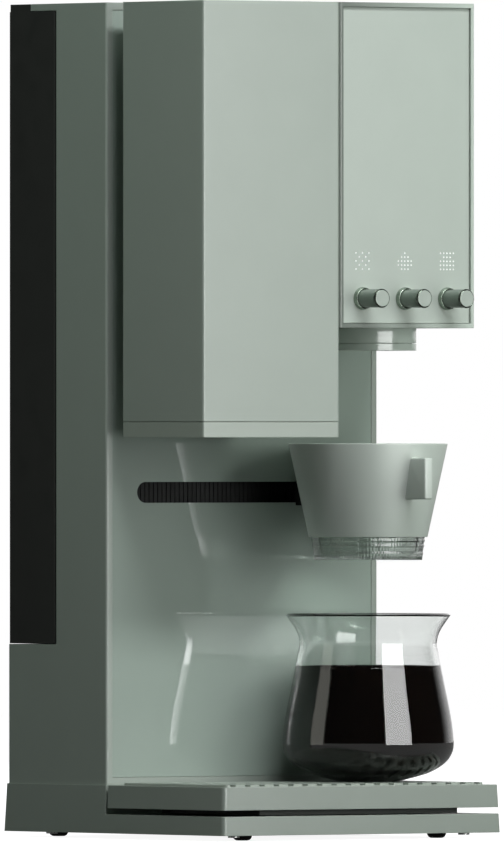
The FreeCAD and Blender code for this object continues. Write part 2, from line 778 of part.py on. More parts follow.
# Carriage that moves the dripper between the grinder and the brew head
LOOP_Y = behind(LOOP_BEHIND)
BELT_LOW = BELT_Z - BELT_WIDTH / 2
BELT_HIGH = BELT_Z + BELT_WIDTH / 2
BELT_MOTOR_X = ROLLER_X
ROD_HALF = INNER_HALF - FRAME_SHEET - FIT_GAP


def loop_outline(radius, z):
    """A closed stadium line round the two rollers."""
    y0 = LOOP_Y - radius
    y1 = LOOP_Y + radius
    lines = [
        Part.LineSegment(V(-ROLLER_X, y0, z), V(ROLLER_X, y0, z)),
        Part.Arc(V(ROLLER_X, y0, z), V(ROLLER_X + radius, LOOP_Y, z), V(ROLLER_X, y1, z)),
        Part.LineSegment(V(ROLLER_X, y1, z), V(-ROLLER_X, y1, z)),
        Part.Arc(V(-ROLLER_X, y1, z), V(-ROLLER_X - radius, LOOP_Y, z), V(-ROLLER_X, y0, z)),
    ]
    return Part.Wire([line.toShape() for line in lines])


def slot_belt():
    """Endless ribbed belt that closes the slot and pulls the arm."""
    radius = ROLLER_RADIUS + TOUCH_GAP
    height = V(0, 0, BELT_WIDTH)
    outer = Part.Face(loop_outline(radius + BELT_THICKNESS, BELT_LOW)).extrude(height)
    inner = Part.Face(loop_outline(radius, BELT_LOW)).extrude(height)
    belt = outer.cut(inner)
    ribs = []
    count = int(2 * ROLLER_X / BELT_PITCH)
    front = LOOP_Y - radius - BELT_THICKNESS
    for index in range(count):
        x = (index - (count - 1) / 2) * BELT_PITCH
        ribs.append(block_about(x, front, BELT_PITCH / 4, BELT_RIB, BELT_LOW, BELT_HIGH))
    return belt.fuse(ribs)


def belt_roller(side):
    """Roller with its axle, at one end of the belt."""
    x = side * ROLLER_X
    drum = post(x, LOOP_Y, BELT_LOW, BELT_HIGH, ROLLER_RADIUS)
    low = BELT_LOW - FRAME_SHEET - AXLE_END
    high = BELT_HIGH + FRAME_SHEET + AXLE_END
    if side > 0:
        low -= BELT_MOTOR_LENGTH / 2
    return join([drum, post(x, LOOP_Y, low, high, AXLE_RADIUS)])


def belt_motor():
    """Motor that turns the right-hand roller."""
    top = BELT_LOW - FRAME_SHEET - AXLE_END + OVERRUN
    can = post(BELT_MOTOR_X, LOOP_Y, top - BELT_MOTOR_LENGTH, top, BELT_MOTOR_RADIUS)
    bore_low = top - BELT_MOTOR_LENGTH / 2 - 2 * OVERRUN
    bore = post(BELT_MOTOR_X, LOOP_Y, bore_low, top, AXLE_RADIUS + RUNNING_GAP)
    return cut(can, [bore])


def rod_levels():
    """Heights of the two guide rods."""
    return BELT_Z - ROD_RISE, BELT_Z + ROD_RISE


def guide_rods():
    """Two rods that the carriage slides on."""
    y = behind(ROD_BEHIND)
    return group([bar_x(y, z, -ROD_HALF, ROD_HALF, ROD_RADIUS) for z in rod_levels()])


def carriage_frame():
    """Folded sheet frame that holds the rods and the roller axles."""
    back = behind(FRAME_BEHIND)
    half = INNER_HALF - FIT_GAP
    low = BELT_Z - FRAME_RISE
    high = BELT_Z + FRAME_RISE
    sheets = [box(-half, half, back, back + FRAME_SHEET, low, high)]
    tools = []
    for side in (-1, 1):
        outer = side * half
        inner = side * (half - FRAME_SHEET)
        x0, x1 = min(outer, inner), max(outer, inner)
        end = behind(ROD_BEHIND - 2 * ROD_RADIUS)
        sheets.append(box(x0, x1, end, back, low, high))
        roller = side * ROLLER_X
        tab_inner = side * (ROLLER_X - TAB_HALF)
        x0, x1 = min(outer, tab_inner), max(outer, tab_inner)
        front = LOOP_Y - ROLLER_RADIUS / 2
        for z in (BELT_LOW - FRAME_SHEET - TAB_GAP, BELT_HIGH + TAB_GAP):
            sheets.append(box(x0, x1, front, back, z, z + FRAME_SHEET))
            tools.append(post(roller, LOOP_Y, z, z + FRAME_SHEET, AXLE_RADIUS + RUNNING_GAP))
        rod0, rod1 = sorted((side * ROD_HALF, tab_inner))
        for z in rod_levels():
            tools.append(bar_x(behind(ROD_BEHIND), z, rod0, rod1, ROD_RADIUS + FIT_GAP / 2))
    return cut(join(sheets), tools)


def carriage_block():
    """Block on the rods that reaches round the belt to the arm."""
    x = BREW_X
    x0, x1 = x - CARRIAGE_HALF, x + CARRIAGE_HALF
    plate_front = behind(PANEL_RECESS + PANEL_THICKNESS + TOUCH_GAP)
    plate_back = plate_front + CARRIAGE_PLATE
    block_front = LOOP_Y + ROLLER_RADIUS + BELT_THICKNESS + 2 * TOUCH_GAP
    block_back = behind(FRAME_BEHIND) - TOUCH_GAP
    low = BELT_LOW - TOUCH_GAP - CARRIAGE_BRIDGE
    high = BELT_HIGH + TOUCH_GAP + CARRIAGE_BRIDGE
    pieces = [
        box(x0, x1, plate_front, plate_back, low, high),
        box(x0, x1, plate_front, block_back, low, low + CARRIAGE_BRIDGE),
        box(x0, x1, plate_front, block_back, high - CARRIAGE_BRIDGE, high),
        box(x0, x1, block_front, block_back, BELT_Z - 2 * ROD_RISE, BELT_Z + 2 * ROD_RISE),
    ]
    y = behind(ROD_BEHIND)
    bores = [bar_x(y, z, x0, x1, ROD_RADIUS + RUNNING_GAP) for z in rod_levels()]
    return cut(join(pieces), bores)


def sleeve_radius(z):
    """Outer radius of the dripper holder at a height."""
    share = (z - SLEEVE_BOTTOM) / (SLEEVE_TOP - SLEEVE_BOTTOM)
    return SLEEVE_LOW_RADIUS + share * (SLEEVE_TOP_RADIUS - SLEEVE_LOW_RADIUS)


def sleeve_cone(grow, z0, z1):
    """The holder's outer cone between two heights, made larger by a gap."""
    return taper(BREW_X, BREW_Y, z0, sleeve_radius(z0) + grow, z1, sleeve_radius(z1) + grow)


def carrier_arm():
    """Black arm that comes out of the slot and cradles the dripper."""
    x = BREW_X
    root = behind(PANEL_RECESS + PANEL_THICKNESS + TOUCH_GAP)
    front = ahead(BREW_AHEAD - SLEEVE_LOW_RADIUS / 2)
    beam = box(x - ARM_HALF, x + ARM_HALF, root, front, ARM_LOW, ARM_HIGH)
    saddle = box(x - SADDLE_HALF, x + SADDLE_HALF, ahead(SADDLE_BACK), front, SADDLE_LOW, SADDLE_HIGH)
    seat = sleeve_cone(TOUCH_GAP, SLEEVE_BOTTOM, SLEEVE_TOP)
    return cut(join([beam, saddle]), [seat])


# Dripper
def dripper_sleeve():
    """Cone that holds the dripper, with a grip tab at the front."""
    x = BREW_X
    outer = sleeve_cone(0, SLEEVE_BOTTOM, SLEEVE_TOP)
    tip = BREW_Y - FIN_REACH
    root = BREW_Y - SLEEVE_LOW_RADIUS + FIN_ROOT
    half = FIN_WIDTH / 2
    fin = box(x - half, x + half, tip, root, FIN_LOW, FIN_HIGH)
    tip_edges = [e for e in fin.Edges if e.BoundBox.XLength > half and e.BoundBox.YMax < tip + half]
    fin = fin.makeFillet(FIN_ROUNDING, tip_edges)
    top = SLEEVE_TOP_RADIUS - SLEEVE_TOP_WALL
    low = SLEEVE_LOW_RADIUS - SLEEVE_LOW_WALL
    inner = taper(x, BREW_Y, SLEEVE_BOTTOM, low, SLEEVE_TOP, top)
    return cut(join([outer, fin]), [inner])


def insert_top():
    """Height and radius of the insert's rim, inside the holder."""
    z = SLEEVE_TOP - INSERT_DROP
    top = SLEEVE_TOP_RADIUS - SLEEVE_TOP_WALL
    low = SLEEVE_LOW_RADIUS - SLEEVE_LOW_WALL
    share = (z - SLEEVE_BOTTOM) / (SLEEVE_TOP - SLEEVE_BOTTOM)
    return z, low + share * (top - low) - TOUCH_GAP


def dripper_insert():
    """Clear dripper with drain holes in its floor."""
    z_top, r_top = insert_top()
    r_mid = SLEEVE_LOW_RADIUS - SLEEVE_LOW_WALL - TOUCH_GAP
    x = BREW_X
    upper = taper(x, BREW_Y, SLEEVE_BOTTOM, r_mid, z_top, r_top)
    lower = taper(x, BREW_Y, INSERT_BOTTOM, INSERT_LOW_RADIUS, SLEEVE_BOTTOM, r_mid)
    hollow_up = taper(x, BREW_Y, SLEEVE_BOTTOM, r_mid - INSERT_WALL, z_top, r_top - INSERT_WALL)
    floor = INSERT_BOTTOM + INSERT_FLOOR
    hollow_low = taper(x, BREW_Y, floor, INSERT_LOW_RADIUS - INSERT_WALL, SLEEVE_BOTTOM, r_mid - INSERT_WALL)
    tools = [hollow_up, hollow_low, post(x, BREW_Y, INSERT_BOTTOM, floor, DRIP_HOLE_RADIUS)]
    for index in range(DRIP_HOLES):
        angle = 2 * math.pi * index / DRIP_HOLES
        reach = INSERT_LOW_RADIUS * DRIP_RING_SHARE
        place_x = x + reach * math.cos(angle)
        place_y = BREW_Y + reach * math.sin(angle)
        tools.append(post(place_x, place_y, INSERT_BOTTOM, floor, DRIP_HOLE_RADIUS))
    return cut(join([upper, lower]), tools)


# Carafe
def carafe_curve():
    """The outer line of the glass from the edge of its foot to the rim, as (radius, z)."""
    base = BASE_TOP + GRILLE_PROUD + CARAFE_FOOT
    points = [V(CARAFE_FOOT_RADIUS, 0, base)]
    points += [V(radius, 0, base + rise) for radius, rise in CARAFE_PROFILE]
    points.append(V(CARAFE_RIM_RADIUS, 0, CARAFE_RIM))
    curve = Part.BSplineCurve()
    curve.interpolate(points)
    return curve


def inset_curve(curve, inset, top):
    """A line this far inside the glass, up to a height."""
    first, last = curve.FirstParameter, curve.LastParameter
    points = []
    steps = 24
    for index in range(steps + 1):
        parameter = first + (last - first) * index / steps
        place = curve.value(parameter)
        along = curve.tangent(parameter)[0]
        moved = V(place.x - inset * along.z, 0, place.z + inset * along.x)
        if moved.z <= top:
            points.append(moved)
    inner = Part.BSplineCurve()
    inner.interpolate(points)
    return inner, points[0], points[-1]


def turn(edges):
    """A solid of revolution about the carafe's axis."""
    profile = Part.Face(Part.Wire(edges))
    solid = profile.revolve(V(0, 0, 0), V(0, 0, 1), 360)
    solid.translate(V(BREW_X, BREW_Y, 0))
    return solid


def carafe_glass():
    """Blown glass carafe, open at the top."""
    base = BASE_TOP + GRILLE_PROUD + CARAFE_FOOT
    outer = carafe_curve()
    inner, low, high = inset_curve(outer, CARAFE_WALL, CARAFE_RIM)
    rim = V(outer.value(outer.LastParameter))
    edges = [
        Part.LineSegment(V(0, 0, base), V(CARAFE_FOOT_RADIUS, 0, base)).toShape(),
        outer.toShape(),
        Part.LineSegment(rim, high).toShape(),
        inner.toShape(),
        Part.LineSegment(low, V(0, 0, low.z)).toShape(),
        Part.LineSegment(V(0, 0, low.z), V(0, 0, base)).toShape(),
    ]
    return turn(edges)


def coffee():
    """The coffee that stands in the carafe."""
    outer = carafe_curve()
    inner, low, high = inset_curve(outer, CARAFE_WALL + COFFEE_GAP, COFFEE_LEVEL)
    edges = [
        Part.LineSegment(V(0, 0, low.z), low).toShape(),
        inner.toShape(),
        Part.LineSegment(high, V(0, 0, high.z)).toShape(),
        Part.LineSegment(V(0, 0, high.z), V(0, 0, low.z)).toShape(),
    ]
    return turn(edges)


# Water tank
TANK_Y0 = behind(TANK_FRONT + TANK_AHEAD_GAP)
TANK_Y1 = behind(COLUMN_DEPTH)
TANK_TOP = HEIGHT - TONGUE_THICKNESS - TOUCH_GAP
LID_Y0 = behind(TANK_FRONT + TONGUE_LENGTH) + TOUCH_GAP


def water_tank():
    """Dark tank in the back of the column, with cheeks beside its lid."""
    z0 = TANK_BOTTOM + TOUCH_GAP
    half = HALF_WIDTH
    body = rounded_block(-half, half, TANK_Y0, TANK_Y1, z0, TANK_TOP, TANK_CORNER)
    cheeks = []
    for side in (-1, 1):
        x0, x1 = sorted((side * half, side * (half - CHEEK_WIDTH)))
        cheeks.append(box(x0, x1, LID_Y0, TANK_Y1 - TANK_CORNER, z0, HEIGHT))
    wall = TANK_WALL
    hollow = box(-half + wall, half - wall, TANK_Y0 + wall, TANK_Y1 - wall, z0 + wall, TANK_TOP - wall)
    mouth_half = half - CHEEK_WIDTH - MOUTH_LEDGE
    mouth_front = LID_Y0 + TONGUE_THICKNESS / 2 + LID_PIN_RADIUS
    mouth_back = TANK_Y1 - wall - MOUTH_LEDGE / 2
    mouth = box(-mouth_half, mouth_half, mouth_front, mouth_back, TANK_TOP - 2 * wall, TANK_TOP)
    grip_back = TANK_Y1 - GRIP_DEPTH
    grip_top = GRIP_LOW + GRIP_HEIGHT
    reach = GRIP_HALF + wall
    backing = box(-reach, reach, grip_back - wall, TANK_Y1 - wall, GRIP_LOW - wall, grip_top + wall)
    grip = box(-GRIP_HALF, GRIP_HALF, grip_back, TANK_Y1, GRIP_LOW, grip_top)
    valve_hole = bar_y(VALVE_X, VALVE_Z, TANK_Y0, TANK_Y0 + wall, VALVE_RADIUS - VALVE_STEP + FIT_GAP)
    body = cut(cut(join([body] + cheeks), [hollow]).fuse(backing), [mouth, grip, valve_hole])
    pins = [lid_pin(side, half - CHEEK_WIDTH, tank_lid_axis(), RUNNING_GAP) for side in (-1, 1)]
    return cut(body, pins)


def tank_lid_axis():
    """Y and Z of the tank lid's hinge line."""
    return LID_Y0 + TONGUE_THICKNESS / 2, HEIGHT - TONGUE_THICKNESS / 2


def lid_pin(side, reach, axis, grow):
    """A hinge pin, or its hole, at one end of a lid whose sides lie at this reach."""
    y, z = axis
    x0, x1 = sorted((side * (reach - LID_GAP - OVERRUN), side * (reach + LID_PIN_LENGTH)))
    return bar_x(y, z, x0, x1, LID_PIN_RADIUS + grow)


def tank_lid():
    """Fill lid that turns up on two pins at its front edge."""
    y, z = tank_lid_axis()
    half = HALF_WIDTH - CHEEK_WIDTH - LID_GAP
    plate = box(-half, half, y, TANK_Y1, TANK_TOP + TOUCH_GAP, HEIGHT)
    edge = bar_x(y, z, -half, half, TONGUE_THICKNESS / 2)
    pins = [lid_pin(side, HALF_WIDTH - CHEEK_WIDTH, (y, z), 0) for side in (-1, 1)]
    return join([plate, edge] + pins)


def tank_valve():
    """Outlet valve that plugs into the dock."""
    front = behind(TANK_FRONT - COLUMN_WALL) - VALVE_LENGTH
    inside = TANK_Y0 + TANK_WALL
    end = inside + VALVE_NUT + VALVE_STEP
    nose = bar_y(VALVE_X, VALVE_Z, front, TANK_Y0, VALVE_RADIUS)
    stem = bar_y(VALVE_X, VALVE_Z, front, end, VALVE_RADIUS - VALVE_STEP)
    nut = bar_y(VALVE_X, VALVE_Z, inside, inside + VALVE_NUT, VALVE_RADIUS + VALVE_STEP)
    bore = bar_y(VALVE_X, VALVE_Z, front, end, HOSE_BORE)
    return cut(join([nose, stem, nut]), [bore])


# Modules in front of the column
MODULE_Y0 = ahead(MODULE_FRONT)
MODULE_Y1 = ahead(MODULE_GAP)
GRINDER_X0 = -HALF_WIDTH
GRINDER_X1 = -MODULE_SEAM / 2
HEAD_X0 = MODULE_SEAM / 2
HEAD_X1 = HALF_WIDTH
CAP_TOP = GRINDER_BOTTOM + GRINDER_CAP_HEIGHT
HOPPER_TOP = HEIGHT - LID_THICKNESS - LID_LEDGE


def hose_exits():
    """X and Z of the hose and cable holes from the column into the modules."""
    reach = NECK_WIDTH / 3
    return [(-reach, NECK_BOTTOM + EXIT_RISE), (reach, NECK_BOTTOM + EXIT_RISE)]


def module_neck():
    """Ribbed block that carries both modules in front of the column."""
    half = NECK_WIDTH / 2
    block = box(-half, half, MODULE_Y1, behind(PANEL_RECESS), NECK_BOTTOM, NECK_TOP)
    step_x = (NECK_WIDTH - NECK_WALL) / NECK_PASSAGES_X
    step_z = (NECK_TOP - NECK_BOTTOM - NECK_WALL) / NECK_PASSAGES_Z
    tools = []
    for column in range(NECK_PASSAGES_X):
        for row in range(NECK_PASSAGES_Z):
            x0 = -half + NECK_WALL + column * step_x
            z0 = NECK_BOTTOM + NECK_WALL + row * step_z
            x1 = x0 + step_x - NECK_WALL
            z1 = z0 + step_z - NECK_WALL
            tools.append(box(x0, x1, MODULE_Y1, behind(PANEL_RECESS), z0, z1))
    return cut(block, tools)


def lid_bounds(gap):
    """The hopper opening in the grinder's top, with a gap all round."""
    inset = LID_RIM + gap
    return GRINDER_X0 + inset, GRINDER_X1 - inset, MODULE_Y0 + inset, MODULE_Y1 - inset


def hopper_lid_axis():
    """Y and Z of the hopper lid's hinge line."""
    return lid_bounds(LID_GAP)[3] - LID_THICKNESS / 2, HEIGHT - LID_THICKNESS / 2


def grinder_shell():
    """Casing of the grinder, open below and with a hopper mouth on top."""
    wall = MODULE_WALL
    body = rounded_block(GRINDER_X0, GRINDER_X1, MODULE_Y0, MODULE_Y1, CAP_TOP, HEIGHT, COLUMN_CORNER)
    hollow = in_grinder(wall, CAP_TOP, HOPPER_TOP)
    x0, x1, y0, y1 = lid_bounds(0)
    seat = box(x0, x1, y0, y1, HEIGHT - LID_THICKNESS - RUNNING_GAP, HEIGHT)
    finger = taper((x0 + x1) / 2, y0, HEIGHT - FINGER_DEPTH, FINGER_LOW_RADIUS, HEIGHT, FINGER_TOP_RADIUS)
    y, z = hopper_lid_axis()
    pins = []
    for side in (-1, 1):
        edge = x1 if side > 0 else x0
        near, far = sorted((edge - side, edge + side * LID_PIN_LENGTH))
        pins.append(bar_x(y, z, near, far, LID_PIN_RADIUS + RUNNING_GAP))
    hole_x, hole_z = hose_exits()[0]
    passage = bar_y(hole_x, hole_z, MODULE_Y1 - wall, MODULE_Y1, HOSE_RADIUS + FIT_GAP)
    x0, x1, y0, y1 = lid_bounds(LID_LEDGE)
    mouth = box(x0, x1, y0, y1, HOPPER_TOP, HEIGHT)
    return cut(body, [hollow, seat, mouth, finger, passage] + pins)


def hopper_lid():
    """Lid over the beans, hinged at its back edge."""
    x0, x1, y0, y1 = lid_bounds(LID_GAP)
    y, z = hopper_lid_axis()
    low = HEIGHT - LID_THICKNESS
    plate = box(x0, x1, y0, y, low, HEIGHT)
    edge = bar_x(y, z, x0, x1, LID_THICKNESS / 2)
    reach = LID_GAP + LID_PIN_LENGTH - PIN_END_GAP
    pins = [bar_x(y, z, x1 - OVERRUN, x1 + reach, LID_PIN_RADIUS)]
    pins.append(bar_x(y, z, x0 - reach, x0 + OVERRUN, LID_PIN_RADIUS))
    return join([plate, edge] + pins)


def in_grinder(inset, z0, z1):
    """A block inside the grinder's outline, moved inwards from it."""
    return box(GRINDER_X0 + inset, GRINDER_X1 - inset, MODULE_Y0 + inset, MODULE_Y1 - inset, z0, z1)


def grinder_cap():
    """Bottom strip of the grinder, with the outlet for the grounds."""
    wall = MODULE_WALL
    top = CAP_TOP - CAP_SEAM
    body = rounded_block(GRINDER_X0, GRINDER_X1, MODULE_Y0, MODULE_Y1, GRINDER_BOTTOM, top, COLUMN_CORNER)
    hollow = in_grinder(wall, GRINDER_BOTTOM + wall, top)
    lip = wall + FIT_GAP
    rim_top = CAP_TOP + CAP_RIM_HEIGHT
    rim_outer = in_grinder(lip, GRINDER_BOTTOM + wall / 2, rim_top)
    rim_inner = in_grinder(lip + CAP_RIM_WALL, GRINDER_BOTTOM + wall, rim_top)
    body = join([cut(body, [hollow]), cut(rim_outer, [rim_inner])])
    half_x = CHUTE_HALF + FIT_GAP
    half_y = OUTLET_REACH + FIT_GAP
    y0, y1 = BREW_Y - half_y, BREW_Y + half_y
    outlet = box(GRIND_X - half_x, GRIND_X + half_x, y0, y1, GRINDER_BOTTOM, CAP_TOP)
    return cut(body, [outlet])


def square_outline(half_x, half_y, centre_x, centre_y, z):
    """A level rectangle about a centre, as a wire."""
    corners = [
        V(centre_x - half_x, centre_y - half_y, z),
        V(centre_x + half_x, centre_y - half_y, z),
        V(centre_x + half_x, centre_y + half_y, z),
        V(centre_x - half_x, centre_y + half_y, z),
    ]
    return Part.makePolygon(corners + corners[:1])


def bean_hopper():
    """Funnel that leads the beans to the burrs."""
    x0, x1, y0, y1 = lid_bounds(-HOPPER_SPREAD)
    centre_x, centre_y = (x0 + x1) / 2, (y0 + y1) / 2
    rim = HOPPER_TOP - TOUCH_GAP
    slope_top = rim - HOPPER_UPRIGHT
    neck = HOPPER_NECK_RADIUS
    solids = []
    for shrink in (0, HOPPER_WALL):
        half_x = (x1 - x0) / 2 - shrink
        half_y = (y1 - y0) / 2 - shrink
        top = square_outline(half_x, half_y, centre_x, centre_y, slope_top)
        low = square_outline(neck - shrink, neck - shrink, GRIND_X, BREW_Y, HOPPER_NECK_TOP)
        funnel = Part.makeLoft([low, top], True, True)
        upper = block_about(centre_x, centre_y, half_x, half_y, slope_top, rim)
        low_half = neck - shrink
        spout = block_about(GRIND_X, BREW_Y, low_half, low_half, BURR_TOP + TOUCH_GAP, HOPPER_NECK_TOP)
        solids.append(join([spout, funnel, upper]))
    return cut(solids[0], [solids[1]])


def burr_carrier():
    """Cup round the burrs, held by two ears against the casing."""
    x, y = GRIND_X, BREW_Y
    outer = post(x, y, BURR_FLOOR, BURR_TOP, BURR_CUP_RADIUS)
    reach = MODULE_WALL + FIT_GAP
    half = EAR_WIDTH / 2
    ear_top = BURR_FLOOR + EAR_HEIGHT
    ear = box(GRINDER_X0 + reach, GRINDER_X1 - reach, y - half, y + half, BURR_FLOOR, ear_top)
    inner = post(x, y, BURR_FLOOR + BURR_CUP_WALL, BURR_TOP - BURR_CUP_WALL, BURR_CUP_RADIUS - BURR_CUP_WALL)
    mouth = post(x, y, BURR_FLOOR, BURR_TOP, HOPPER_NECK_RADIUS - HOPPER_WALL)
    low_hole = post(x, y, BURR_FLOOR, BURR_FLOOR + BURR_CUP_WALL, SHAFT_RADIUS + RUNNING_GAP)
    keep_floor = post(x, y, BURR_FLOOR, BURR_FLOOR + BURR_CUP_WALL, BURR_CUP_RADIUS - BURR_CUP_WALL / 2)
    front = y - BURR_CUP_RADIUS
    exit_low = BURR_FLOOR + BURR_CUP_WALL
    exit_hole = box(x - EXIT_HALF, x + EXIT_HALF, front, front + BURR_CUP_RADIUS / 2, exit_low, EXIT_TOP)
    body = cut(join([outer, ear]), [inner, mouth, exit_hole]).fuse(keep_floor)
    return cut(body, [low_hole])


def outer_burr():
    """Fixed ring burr with a conical grinding face."""
    x, y = GRIND_X, BREW_Y
    radius = BURR_CUP_RADIUS - BURR_CUP_WALL - FIT_GAP
    ring = post(x, y, OUTER_BURR_BOTTOM, OUTER_BURR_TOP, radius)
    low = INNER_BURR_LOW_RADIUS + GRIND_GAP
    top = INNER_BURR_TOP_RADIUS + FEED_GAP
    face = taper(x, y, OUTER_BURR_BOTTOM, low, OUTER_BURR_TOP, top)
    return cut(ring, [face])


def inner_burr():
    """Turning cone burr with slanted grooves."""
    x, y = GRIND_X, BREW_Y
    low = OUTER_BURR_BOTTOM
    cone = taper(x, y, low, INNER_BURR_LOW_RADIUS, OUTER_BURR_TOP, INNER_BURR_TOP_RADIUS)
    tools = [post(x, y, low, OUTER_BURR_TOP, SHAFT_RADIUS + RUNNING_GAP)]
    for index in range(BURR_GROOVES):
        half = BURR_GROOVE_WIDTH / 2
        end = INNER_BURR_LOW_RADIUS + OVERRUN
        groove = box(x + BURR_GROOVE_START, x + end, y - half, y + half, low, OUTER_BURR_TOP)
        groove.rotate(V(x, y, 0), V(0, 0, 1), 360 * index / BURR_GROOVES)
        tools.append(groove)
    return cut(cone, tools)


def grinder_shaft():
    """Shaft from the motor up through the cone burr, with its cap nut."""
    x, y = GRIND_X, BREW_Y
    shaft = post(x, y, MOTOR_BOTTOM + MOTOR_FLOOR + OVERRUN, OUTER_BURR_TOP + OVERRUN, SHAFT_RADIUS)
    nut = post(x, y, OUTER_BURR_TOP, OUTER_BURR_TOP + SHAFT_NUT_HEIGHT, SHAFT_COLLAR_RADIUS)
    collar_low = BURR_FLOOR + BURR_CUP_WALL + TOUCH_GAP
    collar = post(x, y, collar_low, OUTER_BURR_BOTTOM, SHAFT_COLLAR_RADIUS)
    return join([shaft, nut, collar])


def grinder_motor():
    """Motor under the burrs, with its four mounting posts."""
    x, y = GRIND_X, BREW_Y
    can = post(x, y, MOTOR_BOTTOM, MOTOR_TOP, MOTOR_RADIUS)
    posts = []
    for turn_index in range(4):
        angle = math.radians(45 + 90 * turn_index)
        reach = MOTOR_RADIUS - MOTOR_POST_INSET
        post_x = x + reach * math.cos(angle)
        post_y = y + reach * math.sin(angle)
        posts.append(post(post_x, post_y, MOTOR_TOP - OVERRUN, BURR_FLOOR, MOTOR_POST_RADIUS))
    bore = post(x, y, MOTOR_BOTTOM + MOTOR_FLOOR, MOTOR_TOP, SHAFT_RADIUS + RUNNING_GAP)
    return cut(join([can] + posts), [bore])


def chute_line(inset):
    """The duct's corners as (distance in front of the burrs' axis, z), moved inwards."""
    near = BURR_CUP_RADIUS + TOUCH_GAP + inset
    far = BURR_CUP_RADIUS + TOUCH_GAP + CHUTE_DEPTH - inset
    spout = OUTLET_REACH - inset
    top = OUTER_BURR_BOTTOM + CHUTE_RISE - inset
    elbow = MOTOR_BOTTOM - CHUTE_CLEARANCE
    low = GRINDER_BOTTOM + FIT_GAP
    front_low = CAP_TOP - CHUTE_SLANT
    back_low = CAP_TOP + CHUTE_SLANT
    front = [(near, top), (far, top), (far, elbow + inset / 2), (spout, front_low + inset / 2)]
    back = [(spout, low), (-spout, low), (-spout, back_low - inset), (near, elbow - inset)]
    return front + back


def chute_prism(inset):
    """A block along X with the duct's outline, moved inwards all round."""
    half = CHUTE_HALF - inset
    points = [(BREW_Y - reach, z) for reach, z in chute_line(inset)]
    return prism_x(points, GRIND_X - half, GRIND_X + half)


def grounds_chute():
    """Duct that leads the grounds from the burrs down to the outlet."""
    half = CHUTE_HALF - CHUTE_WALL
    back = BREW_Y - BURR_CUP_RADIUS - TOUCH_GAP
    low = BURR_FLOOR + BURR_CUP_WALL
    window = box(GRIND_X - half, GRIND_X + half, back - CHUTE_WALL, back, low, EXIT_TOP)
    return cut(chute_prism(0), [chute_prism(CHUTE_WALL), window])


# Brew head
CONTROL_Y0 = MODULE_Y0 + HEAD_RECESS
CONTROL_Y1 = CONTROL_Y0 + CONTROL_THICKNESS
BOARD_Y0 = CONTROL_Y1 + BOARD_SPACE + ENCODER_DEPTH
KNOB_TIP = ahead(KNOB_AHEAD)


def in_head(inset, y0, y1):
    """A block inside the brew head's outline, moved inwards from it."""
    return box(HEAD_X0 + inset, HEAD_X1 - inset, y0, y1, HEAD_BOTTOM + inset, HEIGHT - inset)


def head_shell():
    """Casing of the brew head, open at the front."""
    wall = MODULE_WALL
    body = rounded_block(HEAD_X0, HEAD_X1, MODULE_Y0, MODULE_Y1, HEAD_BOTTOM, HEIGHT, COLUMN_CORNER)
    rebate = in_head(wall, MODULE_Y0, CONTROL_Y1 + FIT_GAP)
    inner = HEAD_INNER_WALL
    hollow = in_head(inner, MODULE_Y0, MODULE_Y1 - wall)
    stem_hole = post(BREW_X, BREW_Y, HEAD_BOTTOM, HEAD_BOTTOM + inner, ROTOR_STEM_RADIUS + SPINDLE_ROOM)
    feed_hole = post(BREW_X, FEED_Y, HEAD_BOTTOM, HEAD_BOTTOM + inner, HOSE_RADIUS + FIT_GAP)
    hole_x, hole_z = hose_exits()[1]
    passage = bar_y(hole_x, hole_z, MODULE_Y1 - wall, MODULE_Y1, HOSE_RADIUS + FIT_GAP)
    return cut(body, [rebate, hollow, stem_hole, feed_hole, passage])


def knob_places():
    """X of the three knobs."""
    return [KNOB_FIRST + index * KNOB_PITCH for index in range(3)]


def light_fields():
    """The three dot patterns, each as rows of columns that are lit, from the top."""
    checks = [(0, 2, 4), (1, 3), (0, 2, 4), (1, 3), (0, 2, 4)]
    drop = [(2,), (1, 2, 3), (0, 1, 2, 3, 4), (0, 1, 2, 3, 4), (1, 2, 3)]
    cup = [(0, 1, 2, 3, 4), (1, 2, 3), (0, 1, 2, 3, 4), (0, 1, 2, 3, 4), (0, 1, 2, 3, 4)]
    return [checks, drop, cup]


def light_places(index):
    """X and Z of each dot over one knob."""
    places = []
    for row, columns in enumerate(light_fields()[index]):
        z = LIGHT_Z + (2 - row) * LIGHT_PITCH
        for column in columns:
            places.append((knob_places()[index] + (column - 2) * LIGHT_PITCH, z))
    return places


def control_panel():
    """Front panel with the knobs' holes and the lights' holes."""
    panel = in_head(MODULE_WALL + FIT_GAP, CONTROL_Y0, CONTROL_Y1)
    tools = []
    for index, x in enumerate(knob_places()):
        tools.append(bar_y(x, KNOB_Z, CONTROL_Y0, CONTROL_Y1, SPINDLE_RADIUS + SPINDLE_ROOM))
        for light_x, light_z in light_places(index):
            tools.append(bar_y(light_x, light_z, CONTROL_Y0, CONTROL_Y1, LIGHT_RADIUS + RUNNING_GAP))
    return cut(panel, tools)


def light_block(index, steps, y0, y1):
    """A square block behind one dot pattern, this many pitches from its middle to its side."""
    half = steps * LIGHT_PITCH
    x = knob_places()[index]
    return box(x - half, x + half, y0, y1, LIGHT_Z - half, LIGHT_Z + half)


def light_guides():
    """The light guides of the three dot patterns."""
    return group([light_guide(index) for index in range(3)])


def light_guide(index):
    """Clear plate behind the panel with one pin through it for each dot."""
    plate = light_block(index, 3, CONTROL_Y1 + RUNNING_GAP, CONTROL_Y1 + LIGHT_PLATE)
    end = CONTROL_Y1 + LIGHT_PLATE / 2
    pins = [bar_y(x, z, CONTROL_Y0, end, LIGHT_RADIUS) for x, z in light_places(index)]
    return plate.fuse(pins)


